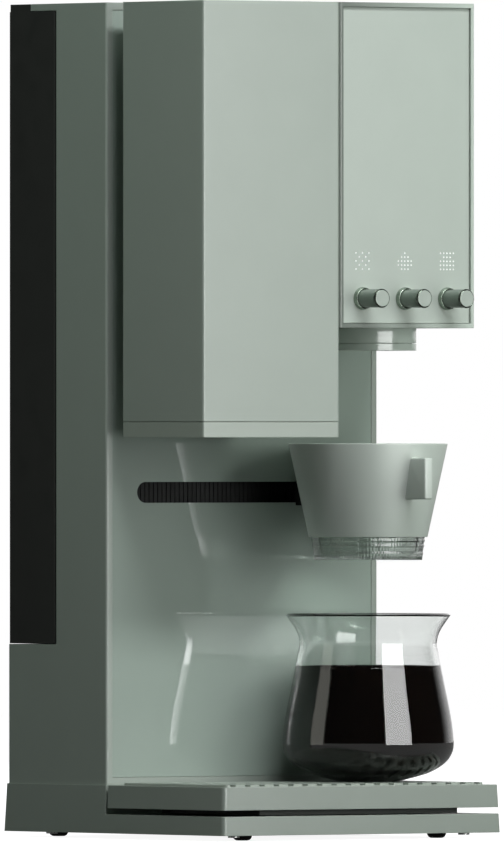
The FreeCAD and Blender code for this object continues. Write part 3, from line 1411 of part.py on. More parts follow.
def knob_collars():
    """Rings round the knobs' roots."""
    rings = []
    inner = KNOB_RADIUS + COLLAR_GAP
    for x in knob_places():
        tip = CONTROL_Y0 - COLLAR_LENGTH
        floor = CONTROL_Y0 - COLLAR_FLOOR
        ring = Part.makeCone(COLLAR_TIP_RADIUS, COLLAR_RADIUS, COLLAR_LENGTH, V(x, tip, KNOB_Z), V(0, 1, 0))
        rings.append(cut(ring, [
            bar_y(x, KNOB_Z, tip, floor, inner),
            bar_y(x, KNOB_Z, floor, CONTROL_Y0, SPINDLE_RADIUS + SPINDLE_ROOM),
        ]))
    return group(rings)


def knob(index):
    """Turned knob with a groove round its cap."""
    x = knob_places()[index]
    back = CONTROL_Y0 - COLLAR_FLOOR - KNOB_TRAVEL - COLLAR_GAP
    body = bar_y(x, KNOB_Z, KNOB_TIP, back, KNOB_RADIUS)
    cap = KNOB_TIP + KNOB_CAP
    waist = bar_y(x, KNOB_Z, cap, back, KNOB_RADIUS + OVERRUN)
    waist = cut(waist, [bar_y(x, KNOB_Z, cap, back, KNOB_RADIUS - KNOB_WAIST)])
    edge = [e for e in body.Edges if e.BoundBox.YMax < cap]
    body = body.makeFillet(KNOB_ROUNDING, edge)
    bore = bar_y(x, KNOB_Z, back - KNOB_BORE_DEPTH, back, SPINDLE_RADIUS + RUNNING_GAP)
    return cut(body, [waist, bore])


def knob_spindle(index):
    """Encoder spindle that the knob slides on and turns."""
    x = knob_places()[index]
    back = CONTROL_Y0 - COLLAR_FLOOR - KNOB_TRAVEL - COLLAR_GAP
    tip = back - KNOB_BORE_DEPTH + 2 * KNOB_TRAVEL
    return bar_y(x, KNOB_Z, tip, CONTROL_Y1 + BOARD_SPACE + ENCODER_DEPTH / 2, SPINDLE_RADIUS)


def knob_encoders():
    """Three encoder bodies behind the panel."""
    half = ENCODER_SIZE / 2
    front = CONTROL_Y1 + BOARD_SPACE
    bodies = []
    for x in knob_places():
        body = box(x - half, x + half, front, front + ENCODER_DEPTH, KNOB_Z - half, KNOB_Z + half)
        bush = bar_y(x, KNOB_Z, CONTROL_Y1 + FIT_GAP, front, SPINDLE_RADIUS + BUSH_WALL)
        bore_end = front + ENCODER_DEPTH / 2 + TOUCH_GAP
        bore = bar_y(x, KNOB_Z, CONTROL_Y1, bore_end, SPINDLE_RADIUS + RUNNING_GAP)
        bodies.append(cut(join([body, bush]), [bore]))
    return group(bodies)


def control_board():
    """Circuit board that carries the encoders and the lights."""
    inner = HEAD_INNER_WALL + FIT_GAP
    low, high = KNOB_Z - BOARD_BELOW, KNOB_Z + BOARD_ABOVE
    board = box(HEAD_X0 + inner, HEAD_X1 - inner, BOARD_Y0, BOARD_Y0 + BOARD_THICKNESS, low, high)
    front = CONTROL_Y1 + LIGHT_PLATE + TOUCH_GAP
    blocks = [light_block(index, 2.5, front, BOARD_Y0) for index in range(3)]
    return join([board] + blocks)


# Nozzle under the head
def nozzle_housing():
    """Upper cup of the nozzle, fixed under the head."""
    low = NOZZLE_BOTTOM + NOZZLE_RING + NOZZLE_SEAM
    body = post(BREW_X, BREW_Y, low, HEAD_BOTTOM, NOZZLE_RADIUS)
    hollow = post(BREW_X, BREW_Y, low, HEAD_BOTTOM - NOZZLE_WALL, NOZZLE_RADIUS - NOZZLE_WALL)
    stem_hole = post(BREW_X, BREW_Y, low, HEAD_BOTTOM, ROTOR_STEM_RADIUS + RUNNING_GAP)
    feed = post(BREW_X, FEED_Y, low, HEAD_BOTTOM, HOSE_BORE)
    return cut(body, [hollow, stem_hole, feed])


def nozzle_ring():
    """Lower ring of the nozzle, with a lip that goes up into the cup."""
    low = NOZZLE_BOTTOM
    top = low + NOZZLE_RING
    ring = post(BREW_X, BREW_Y, low, top, NOZZLE_RADIUS)
    lip_top = top + NOZZLE_LIP
    lip = post(BREW_X, BREW_Y, low, lip_top, NOZZLE_RADIUS - NOZZLE_WALL - FIT_GAP)
    hole = post(BREW_X, BREW_Y, low, lip_top, ROTOR_RADIUS + TOUCH_GAP)
    return cut(join([ring, lip]), [hole])


def spray_rotor():
    """Turning shower disc with its stem."""
    low = NOZZLE_BOTTOM + ROTOR_RECESS
    disc = post(BREW_X, BREW_Y, low, low + ROTOR_THICKNESS, ROTOR_RADIUS)
    stem_top = HEAD_BOTTOM + HEAD_INNER_WALL + ROTOR_MOTOR_HEIGHT / 2
    stem = post(BREW_X, BREW_Y, low, stem_top, ROTOR_STEM_RADIUS)
    holes = []
    for index in range(ROTOR_HOLES):
        angle = 2 * math.pi * index / ROTOR_HOLES
        reach = ROTOR_RADIUS * ROTOR_RING_SHARES[index % 2]
        hole_x = BREW_X + reach * math.cos(angle)
        hole_y = BREW_Y + reach * math.sin(angle)
        holes.append(post(hole_x, hole_y, low, low + ROTOR_THICKNESS, ROTOR_HOLE_RADIUS))
    return cut(join([disc, stem]), holes)


def rotor_motor():
    """Small motor that turns the shower disc."""
    low = HEAD_BOTTOM + HEAD_INNER_WALL
    can = post(BREW_X, BREW_Y, low, low + ROTOR_MOTOR_HEIGHT, ROTOR_MOTOR_RADIUS)
    bore_top = low + ROTOR_MOTOR_HEIGHT / 2 + OVERRUN
    bore = post(BREW_X, BREW_Y, low, bore_top, ROTOR_STEM_RADIUS + RUNNING_GAP)
    return cut(can, [bore])


# Works inside the column
def board_posts():
    """X and Z of the posts under the main board."""
    inset = 2 * BOARD_POST
    xs = (MAIN_BOARD_X0 + inset, MAIN_BOARD_X1 - inset)
    return at_corners(xs, (MAIN_BOARD_LOW + inset, MAIN_BOARD_HIGH - inset))


def main_board():
    """Main circuit board with its larger components."""
    x0, x1 = MAIN_BOARD_X0, MAIN_BOARD_X1
    back = behind(BOARD_BEHIND + BOARD_THICKNESS)
    front = behind(BOARD_BEHIND)
    board = box(x0, x1, front, back, MAIN_BOARD_LOW, MAIN_BOARD_HIGH)
    pieces = [board]
    for along, up, wide, high, tall in BOARD_BLOCKS:
        left, low = x0 + along, MAIN_BOARD_LOW + up
        pieces.append(box(left, left + wide, front - tall, front, low, low + high))
    for index in range(CAPACITORS):
        x = x0 + CAPACITOR_ALONG + CAPACITOR_PITCH * index
        z = MAIN_BOARD_LOW + CAPACITOR_UP
        pieces.append(bar_y(x, z, front - CAPACITOR_LENGTH, front, CAPACITOR_RADIUS))
    half = PLUG_WIDTH / 2
    plug_front = front - PLUG_DEPTH
    pieces.append(box(CABLE_X - half, CABLE_X + half, plug_front, front, CABLE_Z - half, CABLE_Z + half))
    return join(pieces)


def power_supply():
    """Boxed power supply on the raised block."""
    body = box(PSU_X0, PSU_X1, behind(PSU_FRONT), behind(PSU_BACK), BASE_TOP, PSU_TOP)
    vents = []
    for index in range(PSU_VENTS):
        y = behind(PSU_FRONT + PSU_VENT_PITCH * (index + 1))
        low = PSU_TOP - PSU_VENT_WIDTH
        vents.append(box(PSU_X0 + PSU_EDGE, PSU_X1 - PSU_EDGE, y, y + PSU_VENT_WIDTH, low, PSU_TOP))
    return cut(body, vents)


def pump():
    """Water pump on its cradle."""
    y = behind(PUMP_BEHIND)
    body = bar_x(y, PUMP_Z, PUMP_X0 + PUMP_NOZZLE, PUMP_X1 - PUMP_NOZZLE, PUMP_RADIUS)
    ends = bar_x(y, PUMP_Z, PUMP_X0, PUMP_X1, PUMP_END_RADIUS)
    half = PUMP_RADIUS - CRADLE_INSET
    end = PUMP_NOZZLE + PUMP_END_RADIUS
    cradle = box(PUMP_X0 + end, PUMP_X1 - end, y - half, y + half, BASE_TOP, PUMP_Z)
    bore = bar_x(y, PUMP_Z, PUMP_X0, PUMP_X1, HOSE_BORE)
    return cut(join([body, cradle, ends]), [bore])


def flow_heater():
    """Heater block that the water runs through, on two lugs."""
    back = behind(TANK_FRONT - COLUMN_WALL)
    half = HEATER_WIDTH / 2
    y0, y1 = behind(HEATER_FRONT), behind(HEATER_BACK)
    body = box(HEATER_X - half, HEATER_X + half, y0, y1, HEATER_LOW, HEATER_HIGH)
    x0, x1 = HEATER_X - half, HEATER_X + half
    levels = (HEATER_LOW + LUG_INSET, HEATER_HIGH - LUG_INSET - LUG_HEIGHT)
    lugs = [box(x0, x1, y1, back, z, z + LUG_HEIGHT) for z in levels]
    middle = (y0 + y1) / 2
    bore = post(HEATER_X, middle, HEATER_LOW, HEATER_HIGH, HOSE_BORE)
    fins = []
    for index in range(HEATER_FINS):
        z = HEATER_LOW + HEATER_FIN_PITCH * (index + 1)
        fins.append(box(x0, x0 + HEATER_FIN_DEPTH, y0, y1, z, z + LUG_HEIGHT))
    return cut(join([body] + lugs), fins + [bore])


def arc_path(points, largest):
    """Straight runs joined by tangent arcs, as a wire."""
    edges = []
    start = points[0]
    for before, corner, after in zip(points, points[1:], points[2:]):
        run_in = corner - before
        run_out = after - corner
        half_turn = run_in.getAngle(run_out) / 2
        room = BEND_SHARE * min(run_in.Length, run_out.Length)
        radius = min(largest, room / math.tan(half_turn))
        reach = radius * math.tan(half_turn)
        toward = V(run_in).normalize()
        onward = V(run_out).normalize()
        arc_start = corner - toward * reach
        arc_end = corner + onward * reach
        inward = (onward - toward).normalize()
        middle = corner + inward * (radius / math.cos(half_turn) - radius)
        edges.append(Part.LineSegment(start, arc_start).toShape())
        edges.append(Part.Arc(arc_start, middle, arc_end).toShape())
        start = arc_end
    edges.append(Part.LineSegment(start, points[-1]).toShape())
    return Part.Wire(edges)


def hose(points, radius, bore, largest):
    """A tube along a route, hollow where it has a bore."""
    path = arc_path(points, largest)
    along = points[1] - points[0]
    solids = []
    for size in (radius, bore):
        if size:
            ring = Part.Wire(Part.Circle(points[0], along, size).toShape())
            solids.append(path.makePipeShell([ring], True, False))
    return solids[0].cut(solids[1]) if bore else solids[0]


def dock_to_pump_hose():
    """Hose from the tank dock to the pump."""
    front = behind(TANK_FRONT - COLUMN_WALL) - DOCK_LENGTH - DOCK_WALL
    y = behind(PUMP_BEHIND)
    low = behind(FRONT_FRAME + HOSE_LANE)
    points = [V(VALVE_X, front, VALVE_Z), V(VALVE_X, low, VALVE_Z), V(VALVE_X, low, PUMP_Z)]
    points += [V(VALVE_X, y, PUMP_Z), V(PUMP_X1, y, PUMP_Z)]
    return hose(points, HOSE_RADIUS, HOSE_BORE, HOSE_BEND)


def pump_to_heater_hose():
    """Hose from the pump up behind the carriage to the heater."""
    y = behind(PUMP_BEHIND)
    lane = behind(HOSE_BACK - HOSE_RADIUS)
    heater_y = behind((HEATER_FRONT + HEATER_BACK) / 2)
    x = PUMP_X0 - 3 * HOSE_RADIUS
    turn_z = HEATER_LOW - HOSE_RISE
    points = [V(PUMP_X0, y, PUMP_Z), V(x, y, PUMP_Z), V(x, lane, PUMP_Z), V(x, lane, turn_z)]
    points += [V(HEATER_X, heater_y, turn_z), V(HEATER_X, heater_y, HEATER_LOW)]
    return hose(points, HOSE_RADIUS, HOSE_BORE, HOSE_BEND)


def heater_to_nozzle_hose():
    """Hose from the heater through the neck to the nozzle."""
    y = behind((HEATER_FRONT + HEATER_BACK) / 2)
    exit_x, exit_z = hose_exits()[1]
    top = HEATER_HIGH + HOSE_RISE
    lane = behind(FRONT_FRAME + HOSE_LANE)
    points = [V(HEATER_X, y, HEATER_HIGH), V(HEATER_X, y, top), V(exit_x, lane, top), V(exit_x, lane, exit_z)]
    points += [V(exit_x, FEED_Y, exit_z), V(BREW_X, FEED_Y, exit_z), V(BREW_X, FEED_Y, HEAD_BOTTOM)]
    return hose(points, HOSE_RADIUS, HOSE_BORE, HOSE_BEND)


def grinder_cable():
    """Cable from the main board to the grinder motor."""
    lane = MODULE_Y1 - MODULE_WALL - 2 * CABLE_RADIUS
    middle = (MOTOR_BOTTOM + MOTOR_TOP) / 2
    rear = BREW_Y + MOTOR_RADIUS + FIT_GAP
    turn_z = CABLE_Z - 2 * HOSE_BEND
    points = [V(CABLE_X, behind(BOARD_BEHIND) - PLUG_DEPTH, CABLE_Z), V(CABLE_X, lane, CABLE_Z)]
    points += [V(GRIND_X, lane, turn_z), V(GRIND_X, lane, middle), V(GRIND_X, rear, middle)]
    return hose(points, CABLE_RADIUS, 0, CABLE_BEND)


def mains_wires():
    """Lead from the mains inlet to the power supply."""
    start = behind(COLUMN_DEPTH - INLET_DEPTH)
    lane = behind(PSU_FRONT + 2 * CABLE_RADIUS)
    high = PSU_TOP - PSU_EDGE
    points = [V(INLET_X, start, INLET_Z), V(INLET_X, lane, INLET_Z)]
    points += [V(INLET_X, lane, high), V(PSU_X1, lane, high)]
    return hose(points, CABLE_RADIUS, 0, CABLE_BEND)


def water_hoses():
    """The three hoses of the water path."""
    return group([dock_to_pump_hose(), pump_to_heater_hose(), heater_to_nozzle_hose()])


def inner_cables():
    """The grinder's cable and the lead from the mains inlet."""
    return group([grinder_cable(), mains_wires()])


NODES = {
    "base_plate": base_plate,
    "bottom_cover": bottom_cover,
    "feet": feet,
    "base_screws": base_screws,
    "load_cell": load_cell,
    "scale_pedestal": scale_pedestal,
    "scale_platform": scale_platform,
    "drip_grille": drip_grille,
    "column_shell": column_shell,
    "back_panel": back_panel,
    "column_rear_cover": column_rear_cover,
    "power_inlet": power_inlet,
    "slot_belt": slot_belt,
    "belt_motor": belt_motor,
    "guide_rods": guide_rods,
    "carriage_frame": carriage_frame,
    "carriage_block": carriage_block,
    "carrier_arm": carrier_arm,
    "dripper_sleeve": dripper_sleeve,
    "dripper_insert": dripper_insert,
    "carafe_glass": carafe_glass,
    "coffee": coffee,
    "water_tank": water_tank,
    "tank_lid": tank_lid,
    "tank_valve": tank_valve,
    "module_neck": module_neck,
    "grinder_shell": grinder_shell,
    "hopper_lid": hopper_lid,
    "grinder_cap": grinder_cap,
    "bean_hopper": bean_hopper,
    "burr_carrier": burr_carrier,
    "outer_burr": outer_burr,
    "inner_burr": inner_burr,
    "grinder_shaft": grinder_shaft,
    "grinder_motor": grinder_motor,
    "grounds_chute": grounds_chute,
    "head_shell": head_shell,
    "control_panel": control_panel,
    "light_guides": light_guides,
    "knob_collars": knob_collars,
    "knob_encoders": knob_encoders,
    "control_board": control_board,
    "nozzle_housing": nozzle_housing,
    "nozzle_ring": nozzle_ring,
    "spray_rotor": spray_rotor,
    "rotor_motor": rotor_motor,
    "main_board": main_board,
    "power_supply": power_supply,
    "pump": pump,
    "flow_heater": flow_heater,
    "water_hoses": water_hoses,
    "inner_cables": inner_cables,
}


def write(name, shape):
    """One STEP file for one node."""
    shape.exportStep(os.path.join("parts", name + ".step"))


def main():
    """Build and write every node."""
    os.makedirs("parts", exist_ok=True)
    for name, build in NODES.items():
        write(name, build())
    for index, side in enumerate((-1, 1), 1):
        write("belt_roller_%d" % index, belt_roller(side))
    for index in range(3):
        write("knob_%d" % (index + 1), knob(index))
        write("knob_spindle_%d" % (index + 1), knob_spindle(index))


main()
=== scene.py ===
"""Looks of the pour-over coffee maker: finishes, detailed pieces, camera and light.

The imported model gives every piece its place, in metres. Sizes here are written in
millimetres, as on a workshop drawing, and turned to metres where a mesh is made.
Each sub-assembly of the machine is a class that builds its own meshes and dresses
them in the finishes that stand in one list near the top.
"""

import logging
import math
from abc import ABC, abstractmethod
from collections.abc import Callable, Iterable
from dataclasses import dataclass
from enum import Enum
from typing import ClassVar

import bmesh
import bpy
from mathutils import Matrix, Vector

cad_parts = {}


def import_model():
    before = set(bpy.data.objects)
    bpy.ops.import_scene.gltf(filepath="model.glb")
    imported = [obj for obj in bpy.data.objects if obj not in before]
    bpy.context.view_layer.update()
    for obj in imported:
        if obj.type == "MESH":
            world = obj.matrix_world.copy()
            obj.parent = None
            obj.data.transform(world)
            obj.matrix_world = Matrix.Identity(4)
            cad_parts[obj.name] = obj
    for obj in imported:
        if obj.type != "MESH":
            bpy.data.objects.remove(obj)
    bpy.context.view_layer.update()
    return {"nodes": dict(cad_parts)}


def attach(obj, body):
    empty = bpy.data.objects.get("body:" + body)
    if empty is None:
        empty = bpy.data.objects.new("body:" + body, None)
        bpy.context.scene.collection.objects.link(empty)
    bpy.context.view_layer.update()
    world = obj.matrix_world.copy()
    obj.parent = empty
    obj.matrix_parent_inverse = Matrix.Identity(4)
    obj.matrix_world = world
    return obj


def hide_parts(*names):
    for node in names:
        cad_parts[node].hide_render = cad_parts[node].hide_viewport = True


LOG = logging.getLogger("coffee_maker")
MM = 0.001
BREW_X, BREW_Y = 45.25, -40.9  # upright axis of nozzle, dripper and carafe
SAME_PLACE = 1e-6
SHARP_ANGLE = math.radians(40)
FINE_SIDES = 192
KNOB_SIDES = 96

Colour = tuple[float, float, float]
Point = tuple[float, float, float]
Span = tuple[float, float]
Outline = list[tuple[float, float]]
Socket = bpy.types.NodeSocket
Outputs = bpy.types.bpy_prop_collection
Value = Socket | Colour | Vector | float

WHOLE: Span = (0.0, 1.0)
MOST: Span = (0.1, 0.9)
WHITE: Colour = (1.0, 1.0, 1.0)


def paint(red: int, green: int, blue: int) -> Colour:
    """Turn a colour as it is seen, from 0 to 255, into the scene's linear values.

    Args:
        red: Red share as seen.
        green: Green share as seen.
        blue: Blue share as seen.

    Returns:
        The three linear shares.
    """
    shares = []
    for seen in (red, green, blue):
        share = seen / 255
        shares.append(share / 12.92 if share <= 0.04045 else ((share + 0.055) / 1.055) ** 2.4)
    return shares[0], shares[1], shares[2]


def toned(colour: Colour, gain: float) -> Colour:
    """Make a colour lighter or darker, with no share above 1."""
    return min(colour[0] * gain, 1.0), min(colour[1] * gain, 1.0), min(colour[2] * gain, 1.0)


class Axis(Enum):
    """Direction that a turned piece's axis points to."""

    UP = "up"
    FORWARD = "forward"


class Brush(Enum):
    """Direction of the fine lines on a metal surface."""

    ALONG_X = (0.03, 1.0, 1.0)
    ALONG_Z = (1.0, 1.0, 0.03)
    NONE = (1.0, 1.0, 1.0)


class Nodes:
    """A node tree, with short ways to fill it."""

    def __init__(self, tree: bpy.types.NodeTree) -> None:
        """Start with the tree emptied."""
        self.tree = tree
        tree.nodes.clear()

    def feed(self, target: Socket, value: Value) -> None:
        """Link an output to an input, or write a plain value there.

        Args:
            target: The input.
            value: An output, a colour, a vector or a number.
        """
        if isinstance(value, Socket):
            self.tree.links.new(value, target)
        else:
            target.default_value = (*value, 1.0) if target.type == "RGBA" else value

    def add(self, kind: str, *ordered: Value, rule: str = "", **named: Value) -> Outputs:
        """Add a node and feed its inputs.

        Args:
            kind: Kind of node.
            ordered: What its first inputs get.
            rule: The rule of arithmetic, for a node that has one.
            named: Names of inputs, with _ for a space, and what they get.

        Returns:
            The node's outputs.
        """
        node = self.tree.nodes.new(kind)
        if rule:
            node.operation = rule
        for socket, value in zip(node.inputs, ordered, strict=False):
            self.feed(socket, value)
        for name, value in named.items():
            self.feed(node.inputs[name.replace("_", " ")], value)
        return node.outputs

    def spread(self, source: Socket, read: Span, given: Span = WHOLE) -> Socket:
        """Map a value from the range it is read in to the range it is given in."""
        return self.add("ShaderNodeMapRange", source, *read, *given)["Result"]

    def reckon(self, rule: str, first: Socket, second: Socket | float) -> Socket:
        """Join two values by a rule of arithmetic."""
        return self.add("ShaderNodeMath", first, second, rule=rule)["Value"]

    def measured(self, rule: str, *vectors: Socket | Vector) -> Socket:
        """Get a number from one or two vectors by a rule."""
        return self.add("ShaderNodeVectorMath", *vectors, rule=rule)["Value"]


class Wiring(Nodes):
    """The node tree of one material, round its shader and its output."""

    def __init__(self, name: str) -> None:
        """Start a material.

        Args:
            name: Name of the material.
        """
        self.material = bpy.data.materials.new(name)
        self.material.use_nodes = True
        super().__init__(self.material.node_tree)
        self.shader = self.tree.nodes.new("ShaderNodeBsdfPrincipled")
        self.surface = self.tree.nodes.new("ShaderNodeOutputMaterial").inputs["Surface"]
        self.feed(self.surface, self.shader.outputs["BSDF"])
        self.place = self.add("ShaderNodeTexCoord")["Object"]

    def set(self, **values: Value) -> None:
        """Feed the shader's own inputs, named with _ for a space."""
        for name, value in values.items():
            self.feed(self.shader.inputs[name.replace("_", " ")], value)

    def stretched(self, stretch: Point) -> Socket:
        """Give the object's own places, stretched along x, y and z."""
        return self.add("ShaderNodeMapping", Vector=self.place, Scale=stretch)["Vector"]

    def noise(self, grains: float, detail: float = 3.0, place: Socket | None = None) -> Socket:
        """Add soft noise from 0 to 1, with so many grains in a metre."""
        place = place or self.place
        return self.add("ShaderNodeTexNoise", Vector=place, Scale=grains, Detail=detail)["Fac"]

    def cells(self, grains: float) -> Socket:
        """Give the distance from the middles of round cells, so many in a metre."""
        return self.add("ShaderNodeTexVoronoi", Vector=self.place, Scale=grains)["Distance"]

    def between(self, share: Socket, first: Socket | Colour, second: Socket | Colour) -> Socket:
        """Blend two colours.

        Args:
            share: How much of the second.
            first: Colour at 0.
            second: Colour at 1.

        Returns:
            The blended colour.
        """
        node = self.tree.nodes.new("ShaderNodeMix")
        node.data_type = "RGBA"
        for slot, value in ((0, share), (6, first), (7, second)):
            self.feed(node.inputs[slot], value)
        return node.outputs[2]

    def bump(self, height: Socket, depth: float, **over: Socket) -> Socket:
        """Raise the surface by a height from 0 to 1 and a depth in mm, over a Normal if given."""
        relief = {"Strength": 1.0, "Distance": depth * MM, "Height": height}
        return self.add("ShaderNodeBump", **relief, **over)["Normal"]

    def rounded(self, radius: float) -> tuple[Socket, Socket]:
        """Round the look of sharp edges.

        Args:
            radius: Radius of the rounding in millimetres.

        Returns:
            The rounded normal, and a mask that is 1 on an edge.
        """
        bevel = self.tree.nodes.new("ShaderNodeBevel")
        bevel.samples = 4
        self.feed(bevel.inputs["Radius"], radius * MM)
        normal, plain = bevel.outputs["Normal"], self.add("ShaderNodeNewGeometry")["Normal"]
        return normal, self.spread(self.measured("DOT_PRODUCT", normal, plain), (0.99, 0.8))


# Finishes
@dataclass(frozen=True)
class Finish(ABC):
    """What every finish has: a name and a colour, and a material made once."""

    name: str
    colour: Colour

    def material(self) -> bpy.types.Material:
        """Give the material of this finish, made the first time it is asked for.

        Returns:
            The material.
        """
        made = bpy.data.materials.get(f"{self.name}_finish")
        if made is None:
            wiring = Wiring(f"{self.name}_finish")
            self.wire(wiring)
            made = wiring.material
        return made

    @abstractmethod
    def wire(self, wiring: Wiring) -> None:
        """Wire what makes this kind of finish."""

    def tint(self, wiring: Wiring, share: Socket, spread: float) -> Socket:
        """Let the colour wander a little round its own tone.

        Args:
            wiring: The node tree.
            share: Value that the tone follows.
            spread: How far the tone goes to each side.

        Returns:
            The colour, also joined to the shader.
        """
        low, high = toned(self.colour, 1 - spread), toned(self.colour, 1 + spread)
        colour = wiring.between(wiring.spread(share, MOST), low, high)
        wiring.set(Base_Color=colour)
        return colour


@dataclass(frozen=True)
class SatinPaint(Finish):
    """Fine satin paint on metal or plastic, with paler edges: partly wear, partly a painted
    highlight.
    """

    roughness: float = 0.3
    gloss: float = 0.5
    edge: float = 0.5
    edge_wear_and_highlight_gain: float = 1.25
    orange_peel: float = 0.006

    def wire(self, wiring: Wiring) -> None:
        """Wire tone, paler edges of wear and painted highlight, satin gloss and the paint's fine
        skin.

        Args:
            wiring: The node tree to fill.
        """
        wiring.set(Specular_IOR_Level=self.gloss)
        tone = self.tint(wiring, wiring.noise(35.0, 6.0), 0.03)
        normal, mask = wiring.rounded(self.edge)
        wear = wiring.spread(wiring.noise(420.0), (0.35, 0.6), (0.45, 1.0))
        # Paler edges: partly wear, partly a painted highlight along the rounded edges.
        worn_and_lit_edge = wiring.reckon("MULTIPLY", mask, wear)
        patches = wiring.spread(wiring.noise(160.0, 4.0), MOST, (-0.03, 0.03))
        wiring.set(
            Base_Color=wiring.between(worn_and_lit_edge, tone, toned(self.colour, self.edge_wear_and_highlight_gain)),
            Roughness=wiring.reckon("ADD", patches, self.roughness),
            Normal=wiring.bump(wiring.noise(2600.0, 2.0), self.orange_peel, Normal=normal),
        )


@dataclass(frozen=True)
class RimmedPaint(SatinPaint):
    """Satin paint with its front rim painted in shade at the left end and light at the right end.
    """

    # Rim tones: painted shade at the left end, painted light at the right end.
    rim_left_shade: Colour = paint(106, 113, 106)
    rim_right_light: Colour = paint(206, 214, 206)
    rim_at: float = -75.2
    rim_depth: float = 0.15
    across: Span = (0.0, 90.0)

    def wire(self, wiring: Wiring) -> None:
        """Wire the paint, then the front rim's painted shade and light, dark at its left end and
        pale at its right one.

        Args:
            wiring: The node tree to fill.
        """
        super().wire(wiring)
        plain = wiring.shader.inputs["Base Color"].links[0].from_socket
        apart = wiring.add("ShaderNodeSeparateXYZ", wiring.place)
        start, end = self.across
        along = wiring.spread(apart["X"], (start * MM, end * MM))
        # Painted shade at the rim's left end, fading to painted light at its right end.
        rim_light_and_shade = wiring.between(along, self.rim_left_shade, self.rim_right_light)
        rim = ((self.rim_at - self.rim_depth) * MM, self.rim_at * MM)
        front = wiring.spread(apart["Y"], rim, (1.0, 0.0))
        wiring.set(Base_Color=wiring.between(front, plain, rim_light_and_shade))


@dataclass(frozen=True)
class GlossPanel(Finish):
    """Smooth panel under a clear gloss that mirrors what stands in front of it."""

    roughness: float = 0.30
    coat_roughness: float = 0.02
    coat_ior: float = 1.7

    def wire(self, wiring: Wiring) -> None:
        """Wire the tone under the gloss and the gloss with faint smears.

        Args:
            wiring: The node tree to fill.
        """
        wiring.set(Specular_IOR_Level=0.2, Coat_Weight=1.0, Coat_IOR=self.coat_ior)
        self.tint(wiring, wiring.noise(9.0, 4.0), 0.012)
        smears = wiring.noise(30.0, 5.0, wiring.stretched((1.0, 1.0, 0.35)))
        rough = (self.roughness - 0.03, self.roughness + 0.03)
        wiring.set(
            Coat_Roughness=self.coat_roughness,
            Roughness=wiring.spread(smears, MOST, rough),
            Normal=wiring.bump(wiring.noise(1800.0, 2.0), 0.002),
        )


@dataclass(frozen=True)
class Moulded(Finish):
    """Moulded plastic with a fine stipple and paler edges: partly rubbing wear, partly a painted
    sheen.
    """

    roughness: float = 0.5
    gloss: float = 0.3
    stipple: float = 0.02
    grains: float = 1900.0
    spread: float = 0.10
    edge: float = 0.35
    edge_wear_and_highlight_gain: float = 1.6

    def wire(self, wiring: Wiring) -> None:
        """Wire tone, patchy gloss, stipple, and paler edges of rubbing wear and painted sheen.

        Args:
            wiring: The node tree to fill.
        """
        wiring.set(Specular_IOR_Level=self.gloss)
        tone = self.tint(wiring, wiring.noise(55.0, 5.0), self.spread)
        normal, mask = wiring.rounded(self.edge)
        wear = wiring.spread(wiring.noise(300.0), (0.4, 0.65), (0.2, 1.0))
        # Paler edges: partly rubbing wear, partly a painted sheen.
        rubbed_and_lit_edge = wiring.reckon("MULTIPLY", mask, wear)
        patches = wiring.spread(wiring.noise(90.0, 3.0), (0.3, 0.7), (-0.06, 0.06))
        wiring.set(
            Base_Color=wiring.between(rubbed_and_lit_edge, tone, toned(self.colour, self.edge_wear_and_highlight_gain)),
            Roughness=wiring.reckon("ADD", patches, self.roughness),
            Normal=wiring.bump(wiring.cells(self.grains), self.stipple, Normal=normal),
        )


@dataclass(frozen=True)
class Metal(Finish):
    """Bare metal with fine lines from grinding or turning."""

    roughness: float = 0.3
    brush: Brush = Brush.NONE
    grains: float = 1400.0
    score: float = 0.004
    edge: float = 0.25

    def wire(self, wiring: Wiring) -> None:
        """Wire the tone, the lines and the gloss that follows them.

        Args:
            wiring: The node tree to fill.
        """
        lines = wiring.noise(self.grains, 3.0, wiring.stretched(self.brush.value))
        self.tint(wiring, lines, 0.08)
        rough = (self.roughness - 0.08, self.roughness + 0.12)
        normal, _mask = wiring.rounded(self.edge)
        wiring.set(
            Metallic=1.0,
            Roughness=wiring.spread(lines, (0.25, 0.75), rough),
            Normal=wiring.bump(lines, self.score, Normal=normal),
        )


@dataclass(frozen=True)
class Clear(Finish):
    """Clear glass or plastic, with slight waves in its wall."""

    roughness: float = 0.0
    haze: float = 0.004
    ior: float = 1.45
    wave: float = 0.01
    waves: float = 60.0
    light_through: float = 0.85

    def wire(self, wiring: Wiring) -> None:
        """Wire a clear wall whose tint, gloss and surface wander a little.

        Args:
            wiring: The node tree to fill.
        """
        self.tint(wiring, wiring.noise(25.0), 0.01)
        rough = (self.roughness, self.roughness + self.haze)
        wiring.set(
            Transmission_Weight=1.0,
            IOR=self.ior,
            Roughness=wiring.spread(wiring.noise(180.0, 4.0), (0.45, 0.8), rough),
            Normal=wiring.bump(wiring.noise(self.waves, 1.0), self.wave),
        )
        window = wiring.add("ShaderNodeBsdfTransparent", Color=self.colour)["BSDF"]
        shadow = wiring.add("ShaderNodeLightPath")["Is Shadow Ray"]
        share = wiring.reckon("MULTIPLY", shadow, self.light_through)
        wall = wiring.add("ShaderNodeMixShader", share, wiring.shader.outputs["BSDF"], window)
        wiring.feed(wiring.surface, wall["Shader"])


@dataclass(frozen=True)
class Brew(Finish):
    """Coffee: almost black, its red-brown tone wandering a little, with a still surface."""

    def wire(self, wiring: Wiring) -> None:
        """Wire the liquid's depth of tone and its wet gloss.

        Args:
            wiring: The node tree to fill.
        """
        self.tint(wiring, wiring.noise(35.0, 4.0), 0.5)
        ripples = wiring.bump(wiring.noise(45.0, 1.0), 0.02)
        wiring.set(Roughness=0.03, Specular_IOR_Level=0.25, Normal=ripples)


